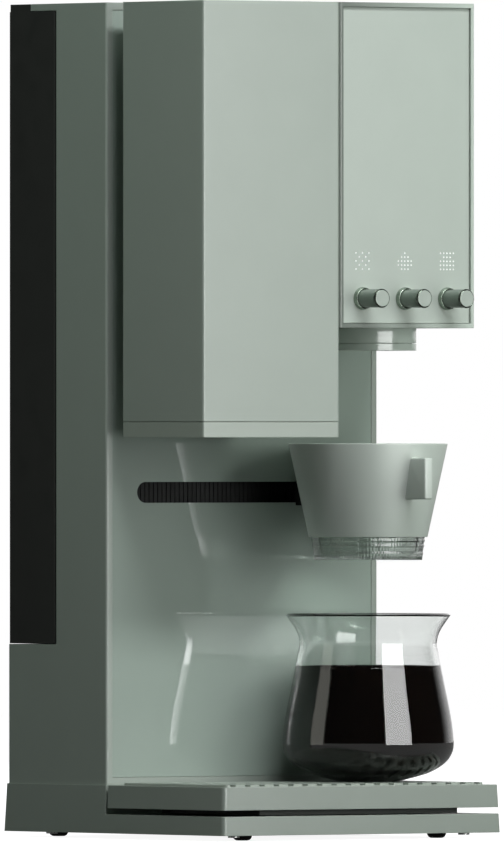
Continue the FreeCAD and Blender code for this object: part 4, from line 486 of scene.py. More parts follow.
@dataclass(frozen=True)
class Circuit(Finish):
    """Circuit board: lacquered green with paler tracks and solder points."""

    solder: Colour = paint(190, 192, 188)

    def wire(self, wiring: Wiring) -> None:
        """Wire tracks and solder points into the lacquer.

        Args:
            wiring: The node tree to fill.
        """
        tone = self.tint(wiring, wiring.noise(30.0), 0.1)
        long_grains = wiring.noise(260.0, 1.0, wiring.stretched((1.0, 1.0, 4.0)))
        tracks = wiring.spread(long_grains, (0.55, 0.57))
        laid = wiring.between(tracks, tone, toned(self.colour, 1.9))
        points = wiring.spread(wiring.cells(320.0), (0.16, 0.12))
        wiring.set(
            Specular_IOR_Level=0.5,
            Base_Color=wiring.between(points, laid, self.solder),
            Roughness=wiring.spread(points, WHOLE, (0.45, 0.25)),
            Normal=wiring.bump(tracks, 0.03),
        )


@dataclass(frozen=True)
class Lamp(Finish):
    """End of a light guide, frosted white with a faint, uneven glow."""

    def wire(self, wiring: Wiring) -> None:
        """Wire the frosted tone and its faint glow.

        Args:
            wiring: The node tree to fill.
        """
        self.tint(wiring, wiring.noise(1500.0), 0.03)
        wiring.set(
            Roughness=0.35,
            Specular_IOR_Level=0.5,
            Emission_Color=WHITE,
            Emission_Strength=wiring.spread(wiring.noise(900.0), (0.3, 0.7), (0.30, 0.40)),
            Normal=wiring.bump(wiring.noise(4000.0), 0.01),
        )


CASING = SatinPaint("casing_paint", paint(178, 185, 178))
HEAD = RimmedPaint("head_paint", paint(178, 185, 178))
STRIP = SatinPaint("strip_paint", paint(173, 180, 172), roughness=0.38)
BASE = SatinPaint("base_paint", paint(170, 177, 170))
# Near black: painted shade for the narrow gap under the weighing platform.
SHADED_PEDESTAL = SatinPaint("pedestal_paint", paint(32, 37, 33), roughness=0.5, gloss=0.25)
CONTROL = SatinPaint(
    "control_face_paint", paint(188, 195, 188), roughness=0.36, edge=0.3, edge_wear_and_highlight_gain=1.05
)
PANEL = GlossPanel("back_panel_gloss", paint(182, 194, 186))
GRILLE = SatinPaint("grille_paint", paint(172, 179, 171), roughness=0.4, edge=0.25)
KNOB = SatinPaint("knob_face_paint", paint(180, 187, 180), edge=0.2)
BARREL = SatinPaint("knob_barrel_paint", paint(116, 130, 118), roughness=0.22, gloss=0.7, edge=0.15)
KNOB_RIM = Metal("knob_rim_metal", paint(84, 92, 84), roughness=0.16)
COLLAR = Metal("collar_metal", paint(150, 162, 150), roughness=0.2)
SMOKED = Moulded(
    "smoked_tank", paint(47, 48, 47), roughness=0.42, gloss=0.12, stipple=0.004, edge=0.5
)
BLACK = Moulded("black_plastic", paint(24, 25, 24), gloss=0.2)
BELT = Moulded("belt_rubber", paint(16, 18, 17), roughness=0.6, gloss=0.15, stipple=0.03)
FEET = Moulded("foot_rubber", paint(10, 12, 11), roughness=0.55, gloss=0.15, stipple=0.03)
HOLDER = SatinPaint("holder_paint", paint(214, 220, 214), roughness=0.42, edge=0.4)
NOZZLE = SatinPaint("nozzle_paint", paint(222, 230, 223), roughness=0.14, gloss=0.6, edge=0.3)
CLEAR = Clear(
    "clear_plastic", paint(192, 199, 194), ior=1.49, roughness=0.01, wave=0.008, waves=160.0
)
GLASS = Clear("carafe_glass", paint(241, 243, 242), ior=1.47)
COFFEE = Brew("coffee", paint(7, 4, 3))
STEEL = Metal("steel", paint(188, 189, 187), roughness=0.28)
ROD = Metal("ground_rod", paint(196, 197, 195), roughness=0.2, brush=Brush.ALONG_X)
BURR = Metal("burr_steel", paint(150, 150, 148), roughness=0.38)
MOTOR = Metal("motor_can", paint(140, 142, 142), roughness=0.34, brush=Brush.ALONG_Z)
ALLOY = Metal("alloy", paint(178, 180, 180), roughness=0.4)
BOARD = Circuit("circuit_board", paint(28, 86, 54))
HOSE = Moulded("silicone_hose", paint(212, 214, 208), roughness=0.42, stipple=0.006, spread=0.03)
CABLE = Moulded("cable_sheath", paint(30, 31, 32), roughness=0.48, stipple=0.006)
DOTS = Lamp("light_dots", paint(236, 238, 236))


# Making pieces
def turned(
    profile: Outline,
    sides: int,
    axis: Axis,
    ripple: Callable[[float, float, int], Point] | None = None,
) -> bpy.types.Mesh:
    """Turn a closed outline about an axis.

    Args:
        profile: Points as (radius, height) in millimetres, in order round the section.
        sides: Steps round the axis.
        axis: Where the height points.
        ripple: Moves a point, given its radius, height and step, or None.

    Returns:
        The mesh, about its own origin, in metres.
    """
    mesh = bmesh.new()
    rings = []
    for radius, height in profile:
        if radius < SAME_PLACE:
            rings.append([mesh.verts.new(_set_up(0.0, 0.0, height, axis))] * sides)
            continue
        ring = []
        for step in range(sides):
            angle = 2 * math.pi * step / sides
            r, z, turn = ripple(radius, height, step) if ripple else (radius, height, 0.0)
            x, y = r * math.cos(angle + turn), r * math.sin(angle + turn)
            ring.append(mesh.verts.new(_set_up(x, y, z, axis)))
        rings.append(ring)
    for ring, following in zip(rings, (*rings[1:], rings[0]), strict=True):
        for step in range(sides):
            after = (step + 1) % sides
            face = list(dict.fromkeys((ring[step], ring[after], following[after], following[step])))
            if len(face) > 2:
                mesh.faces.new(face)
    bmesh.ops.recalc_face_normals(mesh, faces=mesh.faces)
    return _kept(mesh)


def _set_up(x: float, y: float, z: float, axis: Axis) -> Vector:
    """Place a point of a turned piece, z along its axis, in metres."""
    return Vector((x, y, z) if axis is Axis.UP else (x, -z, y)) * MM


def _kept(mesh: bmesh.types.BMesh) -> bpy.types.Mesh:
    """Store a mesh and shade it smooth.

    Args:
        mesh: The mesh that was built.

    Returns:
        The stored mesh.
    """
    made = bpy.data.meshes.new("piece")
    mesh.to_mesh(made)
    mesh.free()
    for face in made.polygons:
        face.use_smooth = True
    return made


def _placed(name: str, data: bpy.types.ID) -> bpy.types.Object:
    """Make an object and put it in the scene.

    Args:
        name: Name of the object.
        data: Its mesh, lamp or camera.

    Returns:
        The object.
    """
    made = bpy.data.objects.new(name, data)
    bpy.context.scene.collection.objects.link(made)
    return made


def softened(points: Outline, radius: float, steps: int = 4) -> Outline:
    """Round every corner of a closed outline.

    Args:
        points: Corners in order.
        radius: Rounding radius.
        steps: Points on each rounding.

    Returns:
        The rounded outline.
    """
    made: Outline = []
    for index, corner in enumerate(points):
        here = Vector(corner)
        before = Vector(points[index - 1]) - here
        after = Vector(points[(index + 1) % len(points)]) - here
        if min(before.length, after.length, abs(corner[0])) < SAME_PLACE:
            made.append(corner)
            continue
        reach = min(radius, before.length * 0.45, after.length * 0.45)
        start, end = here + before.normalized() * reach, here + after.normalized() * reach
        for step in range(steps + 1):
            share = step / steps
            place = start * (1 - share) ** 2 + here * (2 * share * (1 - share)) + end * share**2
            made.append((place.x, place.y))
    return made


def smooth_line(points: Outline, parts: int) -> Outline:
    """Draw a smooth line through points.

    Args:
        points: Points that the line goes through.
        parts: Parts between each two points.

    Returns:
        Points along the line.
    """
    line = [Vector(point) for point in points]
    line = [2 * line[0] - line[1], *line, 2 * line[-1] - line[-2]]
    made: Outline = []
    for index in range(1, len(line) - 2):
        p0, p1, p2, p3 = line[index - 1 : index + 3]
        bend, twist = 2 * p0 - 5 * p1 + 4 * p2 - p3, 3 * p1 - p0 - 3 * p2 + p3
        for step in range(parts):
            t = step / parts
            place = (2 * p1 + (p2 - p0) * t + bend * t**2 + twist * t**3) / 2
            made.append((place.x, place.y))
    made.append(tuple(line[-2]))
    return made


def inset(points: Outline, depth: float) -> Outline:
    """Move an open line to its left by a depth.

    Args:
        points: The line's points, going up the outside of a wall.
        depth: Wall thickness.

    Returns:
        The inner line, in the same order.
    """
    made: Outline = []
    for index, (x, y) in enumerate(points):
        before, after = points[max(index - 1, 0)], points[min(index + 1, len(points) - 1)]
        along = Vector((after[0] - before[0], after[1] - before[1])).normalized()
        made.append((max(x - depth * along.y, 0.0), y + depth * along.x))
    return made


@dataclass
class SubAssembly:
    """A group of pieces that the machine is put together from."""

    dressing: ClassVar[dict[Finish, tuple[str, ...]]] = {}
    nodes: dict[str, bpy.types.Object]

    def build(self) -> None:
        """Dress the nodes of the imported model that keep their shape."""
        for finish, names in self.dressing.items():
            for name in names:
                materials = self.nodes[name].data.materials
                materials.clear()
                materials.append(finish.material())
                LOG.info("dressed %s in %s", name, finish.name)

    def piece(
        self,
        name: str,
        mesh: bpy.types.Mesh,
        finish: Finish,
        body: str,
        at: Point,
        slot: str,
        stands_for: Iterable[str] = (),
    ) -> None:
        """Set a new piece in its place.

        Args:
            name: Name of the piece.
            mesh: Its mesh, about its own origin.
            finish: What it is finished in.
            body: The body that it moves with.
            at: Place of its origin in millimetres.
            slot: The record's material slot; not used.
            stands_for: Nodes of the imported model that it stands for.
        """
        made = _placed(name, mesh)
        mesh.name = name
        made.location = Vector(at) * MM
        mesh.materials.append(finish.material())
        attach(made, body)
        if stands_for:
            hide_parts(*stands_for)
        LOG.info("made %s, rides on %s", name, body)


class Carve(Enum):
    """What is done with a second solid."""

    CUT = "DIFFERENCE"
    ADD = "UNION"


def slab(low: Point, high: Point, rounding: float) -> bpy.types.Mesh:
    """Make a block with every edge rounded.

    Args:
        low: Lowest corner in millimetres.
        high: Highest corner.
        rounding: Radius of its edges.

    Returns:
        The mesh, in metres.
    """
    mesh = bmesh.new()
    bmesh.ops.create_cube(mesh, size=1.0)
    middle, size = (Vector(low) + Vector(high)) / 2, Vector(high) - Vector(low)
    for corner in mesh.verts:
        corner.co = (middle + Vector(a * b for a, b in zip(corner.co, size, strict=True))) * MM
    bmesh.ops.bevel(
        mesh,
        geom=list(mesh.edges),
        offset=rounding * MM,
        segments=3,
        profile=0.5,
        affect="EDGES",
        clamp_overlap=True,
    )
    return _kept(mesh)


def carved(base: bpy.types.Mesh, tools: list[bpy.types.Mesh], kind: Carve) -> bpy.types.Mesh:
    """Cut solids out of a mesh, or grow them into it.

    Args:
        base: The mesh.
        tools: The other solids, in the same place.
        kind: Whether they are cut out or added.

    Returns:
        The new mesh.
    """
    work, *helpers = [_placed("work", mesh) for mesh in (base, *tools)]
    for helper in helpers:
        step = work.modifiers.new("step", "BOOLEAN")
        step.operation, step.solver, step.object = kind.value, "EXACT", helper
    bpy.context.view_layer.update()
    evaluated = work.evaluated_get(bpy.context.evaluated_depsgraph_get())
    made = bpy.data.meshes.new_from_object(evaluated)
    for helper in (work, *helpers):
        bpy.data.objects.remove(helper)
    made.set_sharp_from_angle(angle=SHARP_ANGLE)
    return made


@dataclass
class Base(SubAssembly):
    """Base plate on its feet, with the weighing platform and grille over it."""

    dressing = {
        BASE: ("base_plate", "scale_platform"),
        SHADED_PEDESTAL: ("scale_pedestal",),
        GRILLE: ("drip_grille",),
        BLACK: ("bottom_cover",),
        STEEL: ("base_screws",),
        ALLOY: ("load_cell",),
    }
    foot_radius: float = 5.0
    foot_height: float = 2.8
    foot_dome: float = 2.5
    foot_hollow: Span = (1.3, 0.15)
    foot_ring: float = 1.5
    foot_x: float = 63.3
    foot_front: float = -76.0
    foot_rear: float = 83.7

    def build(self) -> None:
        """Dress the plates and make the feet."""
        super().build()
        for side, x in (("left", -self.foot_x), ("right", self.foot_x)):
            for end, y in (("front", self.foot_front), ("rear", self.foot_rear)):
                name, at = f"foot_{end}_{side}", (x, y, 0.0)
                self.piece(name, self.foot(), FEET, "root", at, "feet", ["feet"])

    def foot(self) -> bpy.types.Mesh:
        """Make one domed foot with a moulded ring under it.

        Returns:
            The mesh.
        """
        r, h, dome = self.foot_radius, self.foot_height, self.foot_dome
        line: Outline = [(0.0, self.foot_hollow[1]), self.foot_hollow, (self.foot_ring, 0.0)]
        line.append((r - dome, 0.0))
        for step in range(1, 10):
            angle = math.pi / 2 * step / 9
            line.append((r - dome + dome * math.sin(angle), dome - dome * math.cos(angle)))
        return turned([*line, (r, h), (0.0, h)], 48, Axis.UP)


@dataclass
class Column(SubAssembly):
    """Housing with its roof, the inset gloss panel and what shows in its slot."""

    dressing = {
        CASING: ("column_shell",),
        PANEL: ("back_panel",),
        BLACK: ("column_rear_cover", "power_inlet", "belt_roller_1", "belt_roller_2"),
        BELT: ("slot_belt",),
    }


@dataclass
class WaterTank(SubAssembly):
    """Smoked water tank with its fill lid and valve."""

    dressing = {SMOKED: ("water_tank", "tank_lid"), BLACK: ("tank_valve",)}


@dataclass
class Dripper(SubAssembly):
    """Arm, cone holder with its grip tab, and the clear ribbed dripper."""

    dressing = {BLACK: ("carrier_arm", "carriage_block")}
    sleeve_low: float = 156.6
    sleeve_top: float = 205.4
    low_radius: float = 31.0
    top_radius: float = 41.6
    low_wall: float = 0.8
    top_wall: float = 2.2
    fin_half: float = 2.6
    fin_low: float = 176.3
    fin_high: float = 197.9
    fin_tip: float = 52.2
    fin_root: float = 34.0
    insert_low: float = 144.6
    insert_top: float = 203.4
    insert_radius: float = 28.4
    insert_mid: float = 29.9
    insert_rim: float = 38.7
    insert_wall: float = 1.6
    insert_floor: float = 2.0
    layer: float = 0.3
    ribs: int = 108
    rib_steps: int = 6
    rib_room: float = 0.38
    beads: Point = (148.0, 152.0, 154.8)
    bead_rise: float = 0.34
    swirls: int = 20
    swirl_rise: float = 0.7
    swirl_lean: float = 0.012
    hole_radius: float = 2.0
    hole_span: Span = (140.0, 150.0)
    holes: int = 12

    def build(self) -> None:
        """Dress the arm, and make the holder and the dripper."""
        super().build()
        at, inner = (BREW_X, BREW_Y, 0.0), "dripper_insert"
        sleeve = self.holder()
        self.piece("dripper_holder", sleeve, HOLDER, "dripper", at, "holder", ["dripper_sleeve"])
        self.piece("dripper_clear", self.insert(), CLEAR, inner, at, "clear_plastic", [inner])

    def holder(self) -> bpy.types.Mesh:
        """Make the cone holder, with the grip tab grown into it.

        Returns:
            The mesh.
        """
        low, top, half = self.sleeve_low, self.sleeve_top, self.fin_half
        line = [(self.low_radius - self.low_wall, low), (self.low_radius, low)]
        line += [(self.top_radius, top), (self.top_radius - self.top_wall, top)]
        cone = turned(softened(line, 0.5), FINE_SIDES, Axis.UP)
        tip, root = (-half, -self.fin_tip, self.fin_low), (half, -self.fin_root, self.fin_high)
        return carved(cone, [slab(tip, root, 0.9)], Carve.ADD)

    def wall_radius(self, height: float) -> float:
        """Give the dripper's outer radius at a height.

        Args:
            height: Height in millimetres.

        Returns:
            The radius.
        """
        if height <= self.sleeve_low:
            share = (height - self.insert_low) / (self.sleeve_low - self.insert_low)
            return self.insert_radius + share * (self.insert_mid - self.insert_radius)
        share = (height - self.sleeve_low) / (self.insert_top - self.sleeve_low)
        return self.insert_mid + share * (self.insert_rim - self.insert_mid)

    def insert(self) -> bpy.types.Mesh:
        """Make the clear dripper: ribbed below, beads on it, swirled ribs inside.

        Returns:
            The mesh.
        """
        low, top, radius = self.insert_low, self.insert_top, self.insert_radius
        line: Outline = [(0.0, low + 0.3), (radius - 2.0, low + 0.3)]
        height = low
        while height < self.sleeve_low - self.layer:
            bead = self.bead_rise * max(math.exp(-((height - z) ** 2) / 0.3) for z in self.beads)
            line.append((self.wall_radius(height) - self.rib_room + bead, height))
            height += self.layer
        line += [(self.wall_radius(z) - 0.1, z) for z in (158.0, 170.0, 182.0, 194.0, top - 0.5)]
        rim = self.wall_radius(top) - 0.5
        line += [(rim, top), (rim - 0.9, top)]
        line += [(self.wall_radius(z) - self.insert_wall, z) for z in range(201, 147, -6)]
        floor = low + self.insert_floor
        line += [(radius - self.insert_wall - 0.6, floor), (0.0, floor)]
        cup = turned(line, self.ribs * self.rib_steps, Axis.UP, self.rib)
        (start, end), hole = self.hole_span, self.hole_radius
        drills = []
        for index in range(self.holes + 1):
            reach = 0.0 if index == self.holes else radius * 0.55
            angle = 2 * math.pi * index / self.holes
            place = Vector((reach * math.cos(angle), reach * math.sin(angle), 0.0)) * MM
            drill = turned([(0.0, start), (hole, start), (hole, end), (0.0, end)], 24, Axis.UP)
            drill.transform(Matrix.Translation(place))
            drills.append(drill)
        return carved(cup, drills, Carve.CUT)

    def rib(self, radius: float, height: float, step: int) -> Point:
        """Give the ribs: fine upright ones outside, long swirled ones inside.

        Args:
            radius: Plain radius.
            height: Plain height.
            step: Step round the axis.

        Returns:
            The new radius and height, and how far it turns.
        """
        wave = math.cos(2 * math.pi * step / self.rib_steps)
        outside = radius > self.wall_radius(height) - 0.8
        if outside and height < self.sleeve_low - self.layer:
            low = max(0.0, 1 - (height - self.insert_low) / 1.2)
            depth = 0.11 if height < self.beads[0] - 0.4 else 0.05
            return radius + depth * wave, height + low * 0.35 * (1 - wave), 0.0
        if not outside and height > self.sleeve_low + 1.0:
            turn = step / (self.ribs * self.rib_steps) * 2 * math.pi
            turn += (height - self.insert_low) * self.swirl_lean
            ridge = max(0.0, math.cos(turn * self.swirls)) ** 4
            return radius - self.swirl_rise * ridge, height, 0.0
        return radius, height, 0.0


@dataclass
class Carafe(SubAssembly):
    """Blown glass carafe and the coffee that stands in it."""

    foot: float = 29.1
    wall: float = 2.0
    rim_wall: float = 1.1
    taper: float = 66.0
    level: float = 89.5
    meniscus: float = 0.9
    line: tuple[Span, ...] = (
        *((0.0, 0.0), (15.7, 0.0), (25.4, 2.5), (32.4, 4.8), (39.4, 9.0), (43.4, 14.0)),
        *((44.7, 20.5), (43.2, 34.2), (39.4, 52.9), (36.7, 66.8), (35.9, 72.4)),
        *((37.6, 78.6), (43.1, 86.9)),
    )

    def build(self) -> None:
        """Make the glass and the coffee."""
        for name, mesh, finish, node in (
            ("carafe_blown", self.glass(), GLASS, "carafe_glass"),
            ("carafe_coffee", self.brew(), COFFEE, "coffee"),
        ):
            self.piece(name, mesh, finish, "carafe", (BREW_X, BREW_Y, self.foot), node, [node])

    def outer(self) -> Outline:
        """Give the smooth outer line from the foot's edge to the rim."""
        return smooth_line(list(self.line[1:]), 8)

    def glass(self) -> bpy.types.Mesh:
        """Make the glass, with a fire-rounded rim.

        Returns:
            The mesh.
        """
        outer = self.outer()
        rim_x, rim_height = outer[-1]
        inner = []
        walls = zip(inset(outer, self.wall), inset(outer, self.rim_wall), strict=True)
        for (r, z), (thin_r, thin_z) in walls:
            share = min(1.0, max(0.0, (z - self.taper) / (rim_height - self.taper)))
            inner.append((r + (thin_r - r) * share, z + (thin_z - z) * share))
        rim_out, rim_in = Vector((rim_x, rim_height)), Vector(inner[-1])
        middle, across = (rim_out + rim_in) / 2, (rim_out - rim_in) / 2
        top = []
        for step in range(1, 8):
            angle = math.pi * step / 8
            upward = Vector((-across.y, across.x)) * math.sin(angle) * 0.9
            place = middle + across * math.cos(angle) + upward
            top.append((place.x, min(place.y, self.line[-1][1])))
        line = [self.line[0], *outer, *top, *reversed(inner), (0.0, self.wall)]
        return turned(line, FINE_SIDES, Axis.UP)

    def brew(self) -> bpy.types.Mesh:
        """Make the coffee, which climbs the glass a little at its edge.

        Returns:
            The mesh.
        """
        level, drop = self.level - self.foot, self.meniscus
        wall = [(r, z) for r, z in inset(self.outer(), self.wall - 0.05) if z < level - 0.2]
        edge = wall[-1][0]
        line = [(0.0, wall[0][1]), *wall, (edge, level), (edge - 0.15, level)]
        line += [(edge - 0.6, level - drop * 0.55), (edge - 1.5, level - drop * 0.9)]
        line += [(edge - 3.0, level - drop), (0.0, level - drop)]
        return turned(line, FINE_SIDES, Axis.UP)


@dataclass
class Grinder(SubAssembly):
    """Grinder casing with its lower strip, the bean hopper's lid and the works inside."""

    dressing = {
        CASING: ("grinder_shell", "hopper_lid", "module_neck"),
        STRIP: ("grinder_cap",),
        BLACK: ("bean_hopper", "burr_carrier", "grounds_chute"),
        BURR: ("outer_burr", "inner_burr"),
        STEEL: ("grinder_shaft",),
        MOTOR: ("grinder_motor",),
    }


@dataclass
class Knob(SubAssembly):
    """One push-and-turn knob in its ring."""

    number: int = 1
    x: float = 16.1
    z: float = 280.8
    back: float = -76.35
    length: float = 15.35
    radius: float = 4.95
    barrel: float = 4.78
    cap: float = 1.5
    chamfer: float = 0.62
    bore: float = 1.55
    bore_depth: float = 13.0
    panel: float = -74.4
    ring_length: float = 2.6
    ring_root: float = 5.95
    ring_tip: float = 5.45
    ring_bore: float = 5.1
    ring_hole: float = 2.2
    ring_floor: float = 0.8

    def build(self) -> None:
        """Make the knob, its face, its rim and its ring."""
        body = f"knob_{self.number}"
        at, ring_at = (self.x, self.back, self.z), (self.x, self.panel, self.z)
        self.piece(f"{body}_barrel", self.handle(), BARREL, body, at, "knob", [body])
        self.piece(f"{body}_face", self.face(), KNOB, body, at, "knob")
        self.piece(f"{body}_rim", self.rim(), KNOB_RIM, body, at, "knob")
        name = f"{body}_ring"
        self.piece(name, self.ring(), COLLAR, "root", ring_at, "casing", ["knob_collars"])

    def handle(self) -> bpy.types.Mesh:
        """Make the barrel with its bore.

        Returns:
            The mesh.
        """
        end, wide, bore = self.length - self.cap, self.barrel, self.bore
        inner = self.radius - self.chamfer - 0.3
        line = [(bore, 0.0), (wide - 0.35, 0.0), (wide, 0.35), (wide, end - 0.45)]
        line += [(wide - 0.3, end - 0.35), (wide - 0.3, end), (inner, end), (inner, end + 0.5)]
        line += [(0.0, end + 0.5), (0.0, self.bore_depth), (bore, self.bore_depth)]
        return turned(softened(line, 0.12, 2), KNOB_SIDES, Axis.FORWARD)

    def face(self) -> bpy.types.Mesh:
        """Make the faintly dished face set into the rim.

        Returns:
            The mesh.
        """
        end, edge = self.length, self.radius - self.chamfer - 0.05
        back = end - self.cap + 0.55
        line = [(0.0, back), (edge - 0.2, back), (edge, end - 0.3), (edge, end - 0.1)]
        line += [(edge - 0.2, end - 0.06), (edge * 0.66, end - 0.14)]
        line += [(edge * 0.33, end - 0.19), (0.0, end - 0.2)]
        return turned(line, KNOB_SIDES, Axis.FORWARD)

    def rim(self) -> bpy.types.Mesh:
        """Make the polished rim round the face.

        Returns:
            The mesh.
        """
        end, wide, cut = self.length, self.radius, self.chamfer
        start, face = end - self.cap, wide - cut
        line = [(face - 0.2, start), (wide - 0.12, start), (wide, start + 0.12)]
        line += [(wide, end - cut * 0.8), (wide - cut * 0.85, end), (face, end)]
        line += [(face, end - 0.3), (face - 0.2, end - 0.3)]
        return turned(line, KNOB_SIDES, Axis.FORWARD)

    def ring(self) -> bpy.types.Mesh:
        """Make the ring on the panel that the knob sits in.

        Returns:
            The mesh.
        """
        hole, floor, end = self.ring_hole, self.ring_floor, self.ring_length
        line = [(hole, 0.0), (self.ring_root, 0.0), (self.ring_root, 0.5), (self.ring_tip, end)]
        line += [(self.ring_bore, end), (self.ring_bore, floor), (hole, floor)]
        return turned(softened(line, 0.22, 3), KNOB_SIDES, Axis.FORWARD)


@dataclass
class BrewHead(SubAssembly):
    """Brew head casing, its control panel, dot fields and knobs."""

    dressing = {
        HEAD: ("head_shell",),
        CONTROL: ("control_panel",),
        DOTS: ("light_guides",),
        BOARD: ("control_board",),
        BLACK: ("knob_encoders",),
        STEEL: ("knob_spindle_1", "knob_spindle_2", "knob_spindle_3"),
    }
    knobs: int = 3
    first_x: float = 16.1
    pitch: float = 27.65

    def build(self) -> None:
        """Dress the casing and make the knobs."""
        super().build()
        for index in range(self.knobs):
            Knob(self.nodes, number=index + 1, x=self.first_x + index * self.pitch).build()


@dataclass
class Nozzle(SubAssembly):
    """Round brew nozzle under the head: cup, lower ring and shower disc."""

    dressing = {STEEL: ("spray_rotor",), MOTOR: ("rotor_motor",)}
    radius: float = 25.2
    wall: float = 2.2
    ring_low: float = 253.8
    ring_top: float = 257.5
    seam: float = 0.2
    lip_height: float = 2.0
    head: float = 265.5
    disc: float = 19.3
    stem: float = 3.1

    def build(self) -> None:
        """Make the cup and the ring, and dress the shower disc."""
        super().build()
        for name, line, node in (
            ("nozzle_cup", self.cup(), "nozzle_housing"),
            ("nozzle_lower_ring", self.ring(), "nozzle_ring"),
        ):
            mesh = turned(softened(line, 0.12, 2), FINE_SIDES, Axis.UP)
            self.piece(name, mesh, NOZZLE, "root", (BREW_X, BREW_Y, 0.0), "casing", [node])

    def cup(self) -> Outline:
        """Draw the cup, open below.

        Returns:
            The outline of its section.
        """
        low, top, r = self.ring_top + self.seam, self.head, self.radius
        inner, ceiling = r - self.wall, top - self.wall
        line = [(self.stem, top), (r, top), (r, low), (inner, low), (inner, ceiling)]
        return [*line, (self.stem, ceiling)]

    def ring(self) -> Outline:
        """Draw the lower ring with its lip inside the cup.

        Returns:
            The outline of its section.
        """
        low, top, r = self.ring_low, self.ring_top, self.radius
        lip, lip_top = r - self.wall - self.seam, top + self.lip_height
        line = [(self.disc, low), (r, low), (r, top), (lip, top), (lip, lip_top)]
        return [*line, (self.disc, lip_top)]


@dataclass
class Works(SubAssembly):
    """Everything that works inside the column."""

    dressing = {
        ROD: ("guide_rods",),
        STEEL: ("carriage_frame",),
        MOTOR: ("belt_motor", "pump"),
        ALLOY: ("flow_heater", "power_supply"),
        BOARD: ("main_board",),
        HOSE: ("water_hoses",),
        CABLE: ("inner_cables",),
    }


def towards(azimuth: float, height: float) -> Vector:
    """Give the direction at an angle round from the front to the right, and one above level."""
    a, e = math.radians(azimuth), math.radians(height)
    return Vector((math.sin(a) * math.cos(e), -math.cos(a) * math.cos(e), math.sin(e)))


class Use(Enum):
    """What a lamp is for: everything, only shine on glossy things, or only plain light."""

    BOTH = "both"
    SHINE = "shine"
    FILL = "fill"


@dataclass(frozen=True)
class Softbox:
    """A soft lamp that stands round the machine, with its sizes in metres."""

    name: str
    azimuth: float
    reach: float
    height: float
    tilt: float
    width: float
    tall: float
    power: float
    use: Use = Use.BOTH
    tint: Colour = WHITE

    def hang(self) -> None:
        """Hang the lamp in its place."""
        data = bpy.data.lights.new(self.name, "AREA")
        data.shape, data.size, data.size_y = "RECTANGLE", self.width, self.tall
        data.energy, data.color = self.power, self.tint
        lamp = _placed(self.name, data)
        lamp.visible_diffuse = self.use is not Use.SHINE
        lamp.visible_glossy = lamp.visible_transmission = self.use is not Use.FILL
        lamp.location = towards(self.azimuth, 0.0) * self.reach + Vector((0.0, 0.0, self.height))
        aim = -towards(self.azimuth, self.tilt)
        lamp.rotation_euler = aim.to_track_quat("-Z", "Y").to_euler()
        LOG.info("hung %s", self.name)


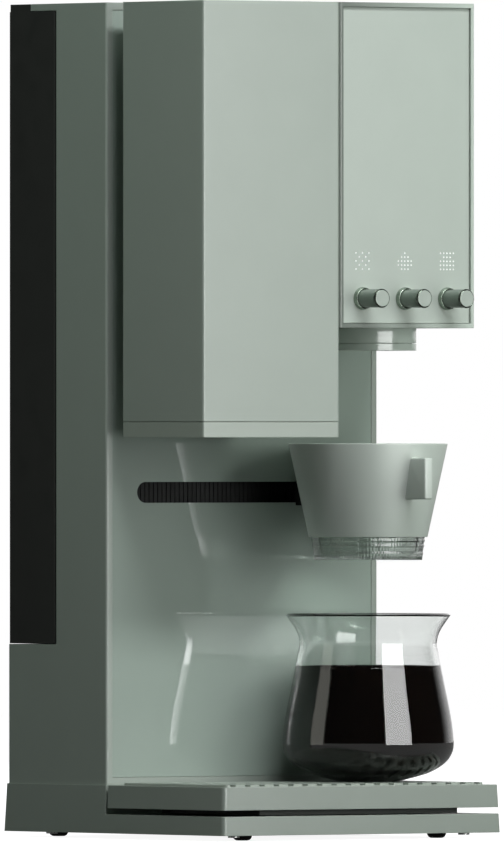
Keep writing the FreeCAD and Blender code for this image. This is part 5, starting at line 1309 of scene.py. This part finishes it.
@dataclass
class Studio:
    """Floor, backdrop, lamps and camera round the machine."""

    target: Point = (0.16, -0.12, 217.1)
    azimuth: float = -37.0
    lens: float = 980.0
    sensor: float = 36.0
    clip: Span = (1.0, 60.0)
    frame_height: float = 439.4
    lamps: tuple[Softbox, ...] = (
        Softbox("high_lamp", -5.0, 1.2, 1.62, 51.0, 1.12, 0.23, 21.8, tint=(0.95, 1.0, 0.99)),
        Softbox("right_lamp", 30.0, 0.6, 0.3, 0.0, 0.4, 0.5, 1.3, Use.FILL, (0.9, 1.0, 0.92)),
        Softbox("front_shine", 7.0, 0.8, 0.705, 0.0, 0.5, 1.39, 17.5, Use.SHINE),
        Softbox("left_lamp", -95.0, 0.8, 0.9, 0.0, 0.47, 0.9, 1.4, Use.FILL, (0.76, 1.0, 0.86)),
        Softbox("left_shine", -113.0, 0.8, 0.7, 0.0, 0.47, 1.38, 2.6, Use.SHINE, (1.0, 1.0, 0.9)),
        Softbox("back_lamp", 150.0, 1.8, 1.5, 30.0, 1.6, 1.6, 32.0, Use.FILL),
    )
    ambient: float = 0.018
    room_tint: Colour = (0.97, 1.0, 0.975)
    backdrop_edge: Span = (0.55, 0.8)
    floor_tone: Colour = (0.06, 0.062, 0.06)
    floor_seen: Colour = (0.32, 0.32, 0.32)
    floor_reach: Span = (0.3, 1.1)
    floor_glow: Span = (0.92, 1.0)
    floor_mirrored: float = 0.15

    def build(self) -> None:
        """Set up the studio."""
        self.place_camera()
        for softbox in self.lamps:
            softbox.hang()
        self.paint_world()
        self.lay_floor()

    def place_camera(self) -> None:
        """Set the camera level with the machine's middle, far off with a long lens."""
        data = bpy.data.cameras.new("camera")
        data.lens, data.sensor_width = self.lens, self.sensor
        data.clip_start, data.clip_end = self.clip
        camera = _placed("camera", data)
        away = towards(self.azimuth, 0.0)
        distance = self.lens / self.sensor * self.frame_height * MM
        camera.location = Vector(self.target) * MM + away * distance
        camera.rotation_euler = (-away).to_track_quat("-Z", "Y").to_euler()
        bpy.context.scene.camera = camera

    def paint_world(self) -> None:
        """Make a dim room with a white backdrop behind the machine."""
        world = bpy.data.worlds.new("studio")
        bpy.context.scene.world = world
        world.use_nodes = True
        nodes = Nodes(world.node_tree)
        room = nodes.add("ShaderNodeBackground", self.room_tint, self.ambient)["Background"]
        white = nodes.add("ShaderNodeBackground", WHITE)["Background"]
        seen = nodes.add("ShaderNodeMixShader", self.backdrop_share(nodes), room, white)
        nodes.add("ShaderNodeOutputWorld", Surface=seen["Shader"])

    def backdrop_share(self, nodes: Nodes) -> Socket:
        """Say which rays see the backdrop: the camera's, glass's, and gloss's behind the machine.

        Args:
            nodes: The world's node tree.

        Returns:
            The share, 1 where the backdrop is seen.
        """
        path = nodes.add("ShaderNodeLightPath")
        place = nodes.add("ShaderNodeTexCoord")["Generated"]
        facing = nodes.measured("DOT_PRODUCT", place, -towards(self.azimuth, 0.0))
        behind = nodes.spread(facing, self.backdrop_edge)
        mirrored = nodes.reckon("MAXIMUM", path["Is Glossy Ray"], path["Glossy Depth"])
        mirrored = nodes.reckon("MINIMUM", mirrored, 1.0)
        scattered = nodes.reckon("MINIMUM", path["Diffuse Depth"], 1.0)
        clear = nodes.reckon("SUBTRACT", path["Is Transmission Ray"], mirrored)
        clear = nodes.reckon("MAXIMUM", nodes.reckon("SUBTRACT", clear, scattered), 0.0)
        seen = nodes.reckon("MAXIMUM", nodes.reckon("MULTIPLY", mirrored, behind), clear)
        return nodes.reckon("MAXIMUM", seen, path["Is Camera Ray"])

    def lay_floor(self) -> None:
        """Lay a pale floor that shows white to the camera and keeps the shadow."""
        mesh = bmesh.new()
        bmesh.ops.create_grid(mesh, x_segments=8, y_segments=8, size=4.0)
        floor = _placed("floor", _kept(mesh))
        wiring = Wiring("pale_floor")
        path = wiring.add("ShaderNodeLightPath")
        tone = wiring.between(path["Is Camera Ray"], self.floor_tone, self.floor_seen)
        wiring.set(Roughness=0.9, Specular_IOR_Level=0.0, Base_Color=tone)
        reach = wiring.measured("LENGTH", wiring.place)
        level = wiring.spread(reach, self.floor_reach, self.floor_glow)
        seen = wiring.reckon("MULTIPLY", path["Is Glossy Ray"], self.floor_mirrored)
        seen = wiring.reckon("MAXIMUM", seen, path["Is Camera Ray"])
        seen = wiring.reckon("MAXIMUM", seen, path["Is Transmission Ray"])
        seen = wiring.reckon("MULTIPLY", seen, level)
        glow = wiring.add("ShaderNodeEmission", Strength=seen)["Emission"]
        surface = wiring.add("ShaderNodeAddShader", wiring.shader.outputs["BSDF"], glow)
        wiring.feed(wiring.surface, surface["Shader"])
        floor.data.materials.append(wiring.material)


def main() -> None:
    """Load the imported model, build every sub-assembly and set up the studio."""
    logging.basicConfig(level=logging.INFO, format="%(message)s")
    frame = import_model()
    nodes = frame["nodes"]
    for kind in (Base, Column, WaterTank, Dripper, Carafe, Grinder, BrewHead, Nozzle, Works):
        kind(nodes).build()
        LOG.info("built %s", kind.__name__)
    bpy.context.scene.view_settings.view_transform = "Standard"
    Studio().build()


if __name__ == "__main__":
    main()
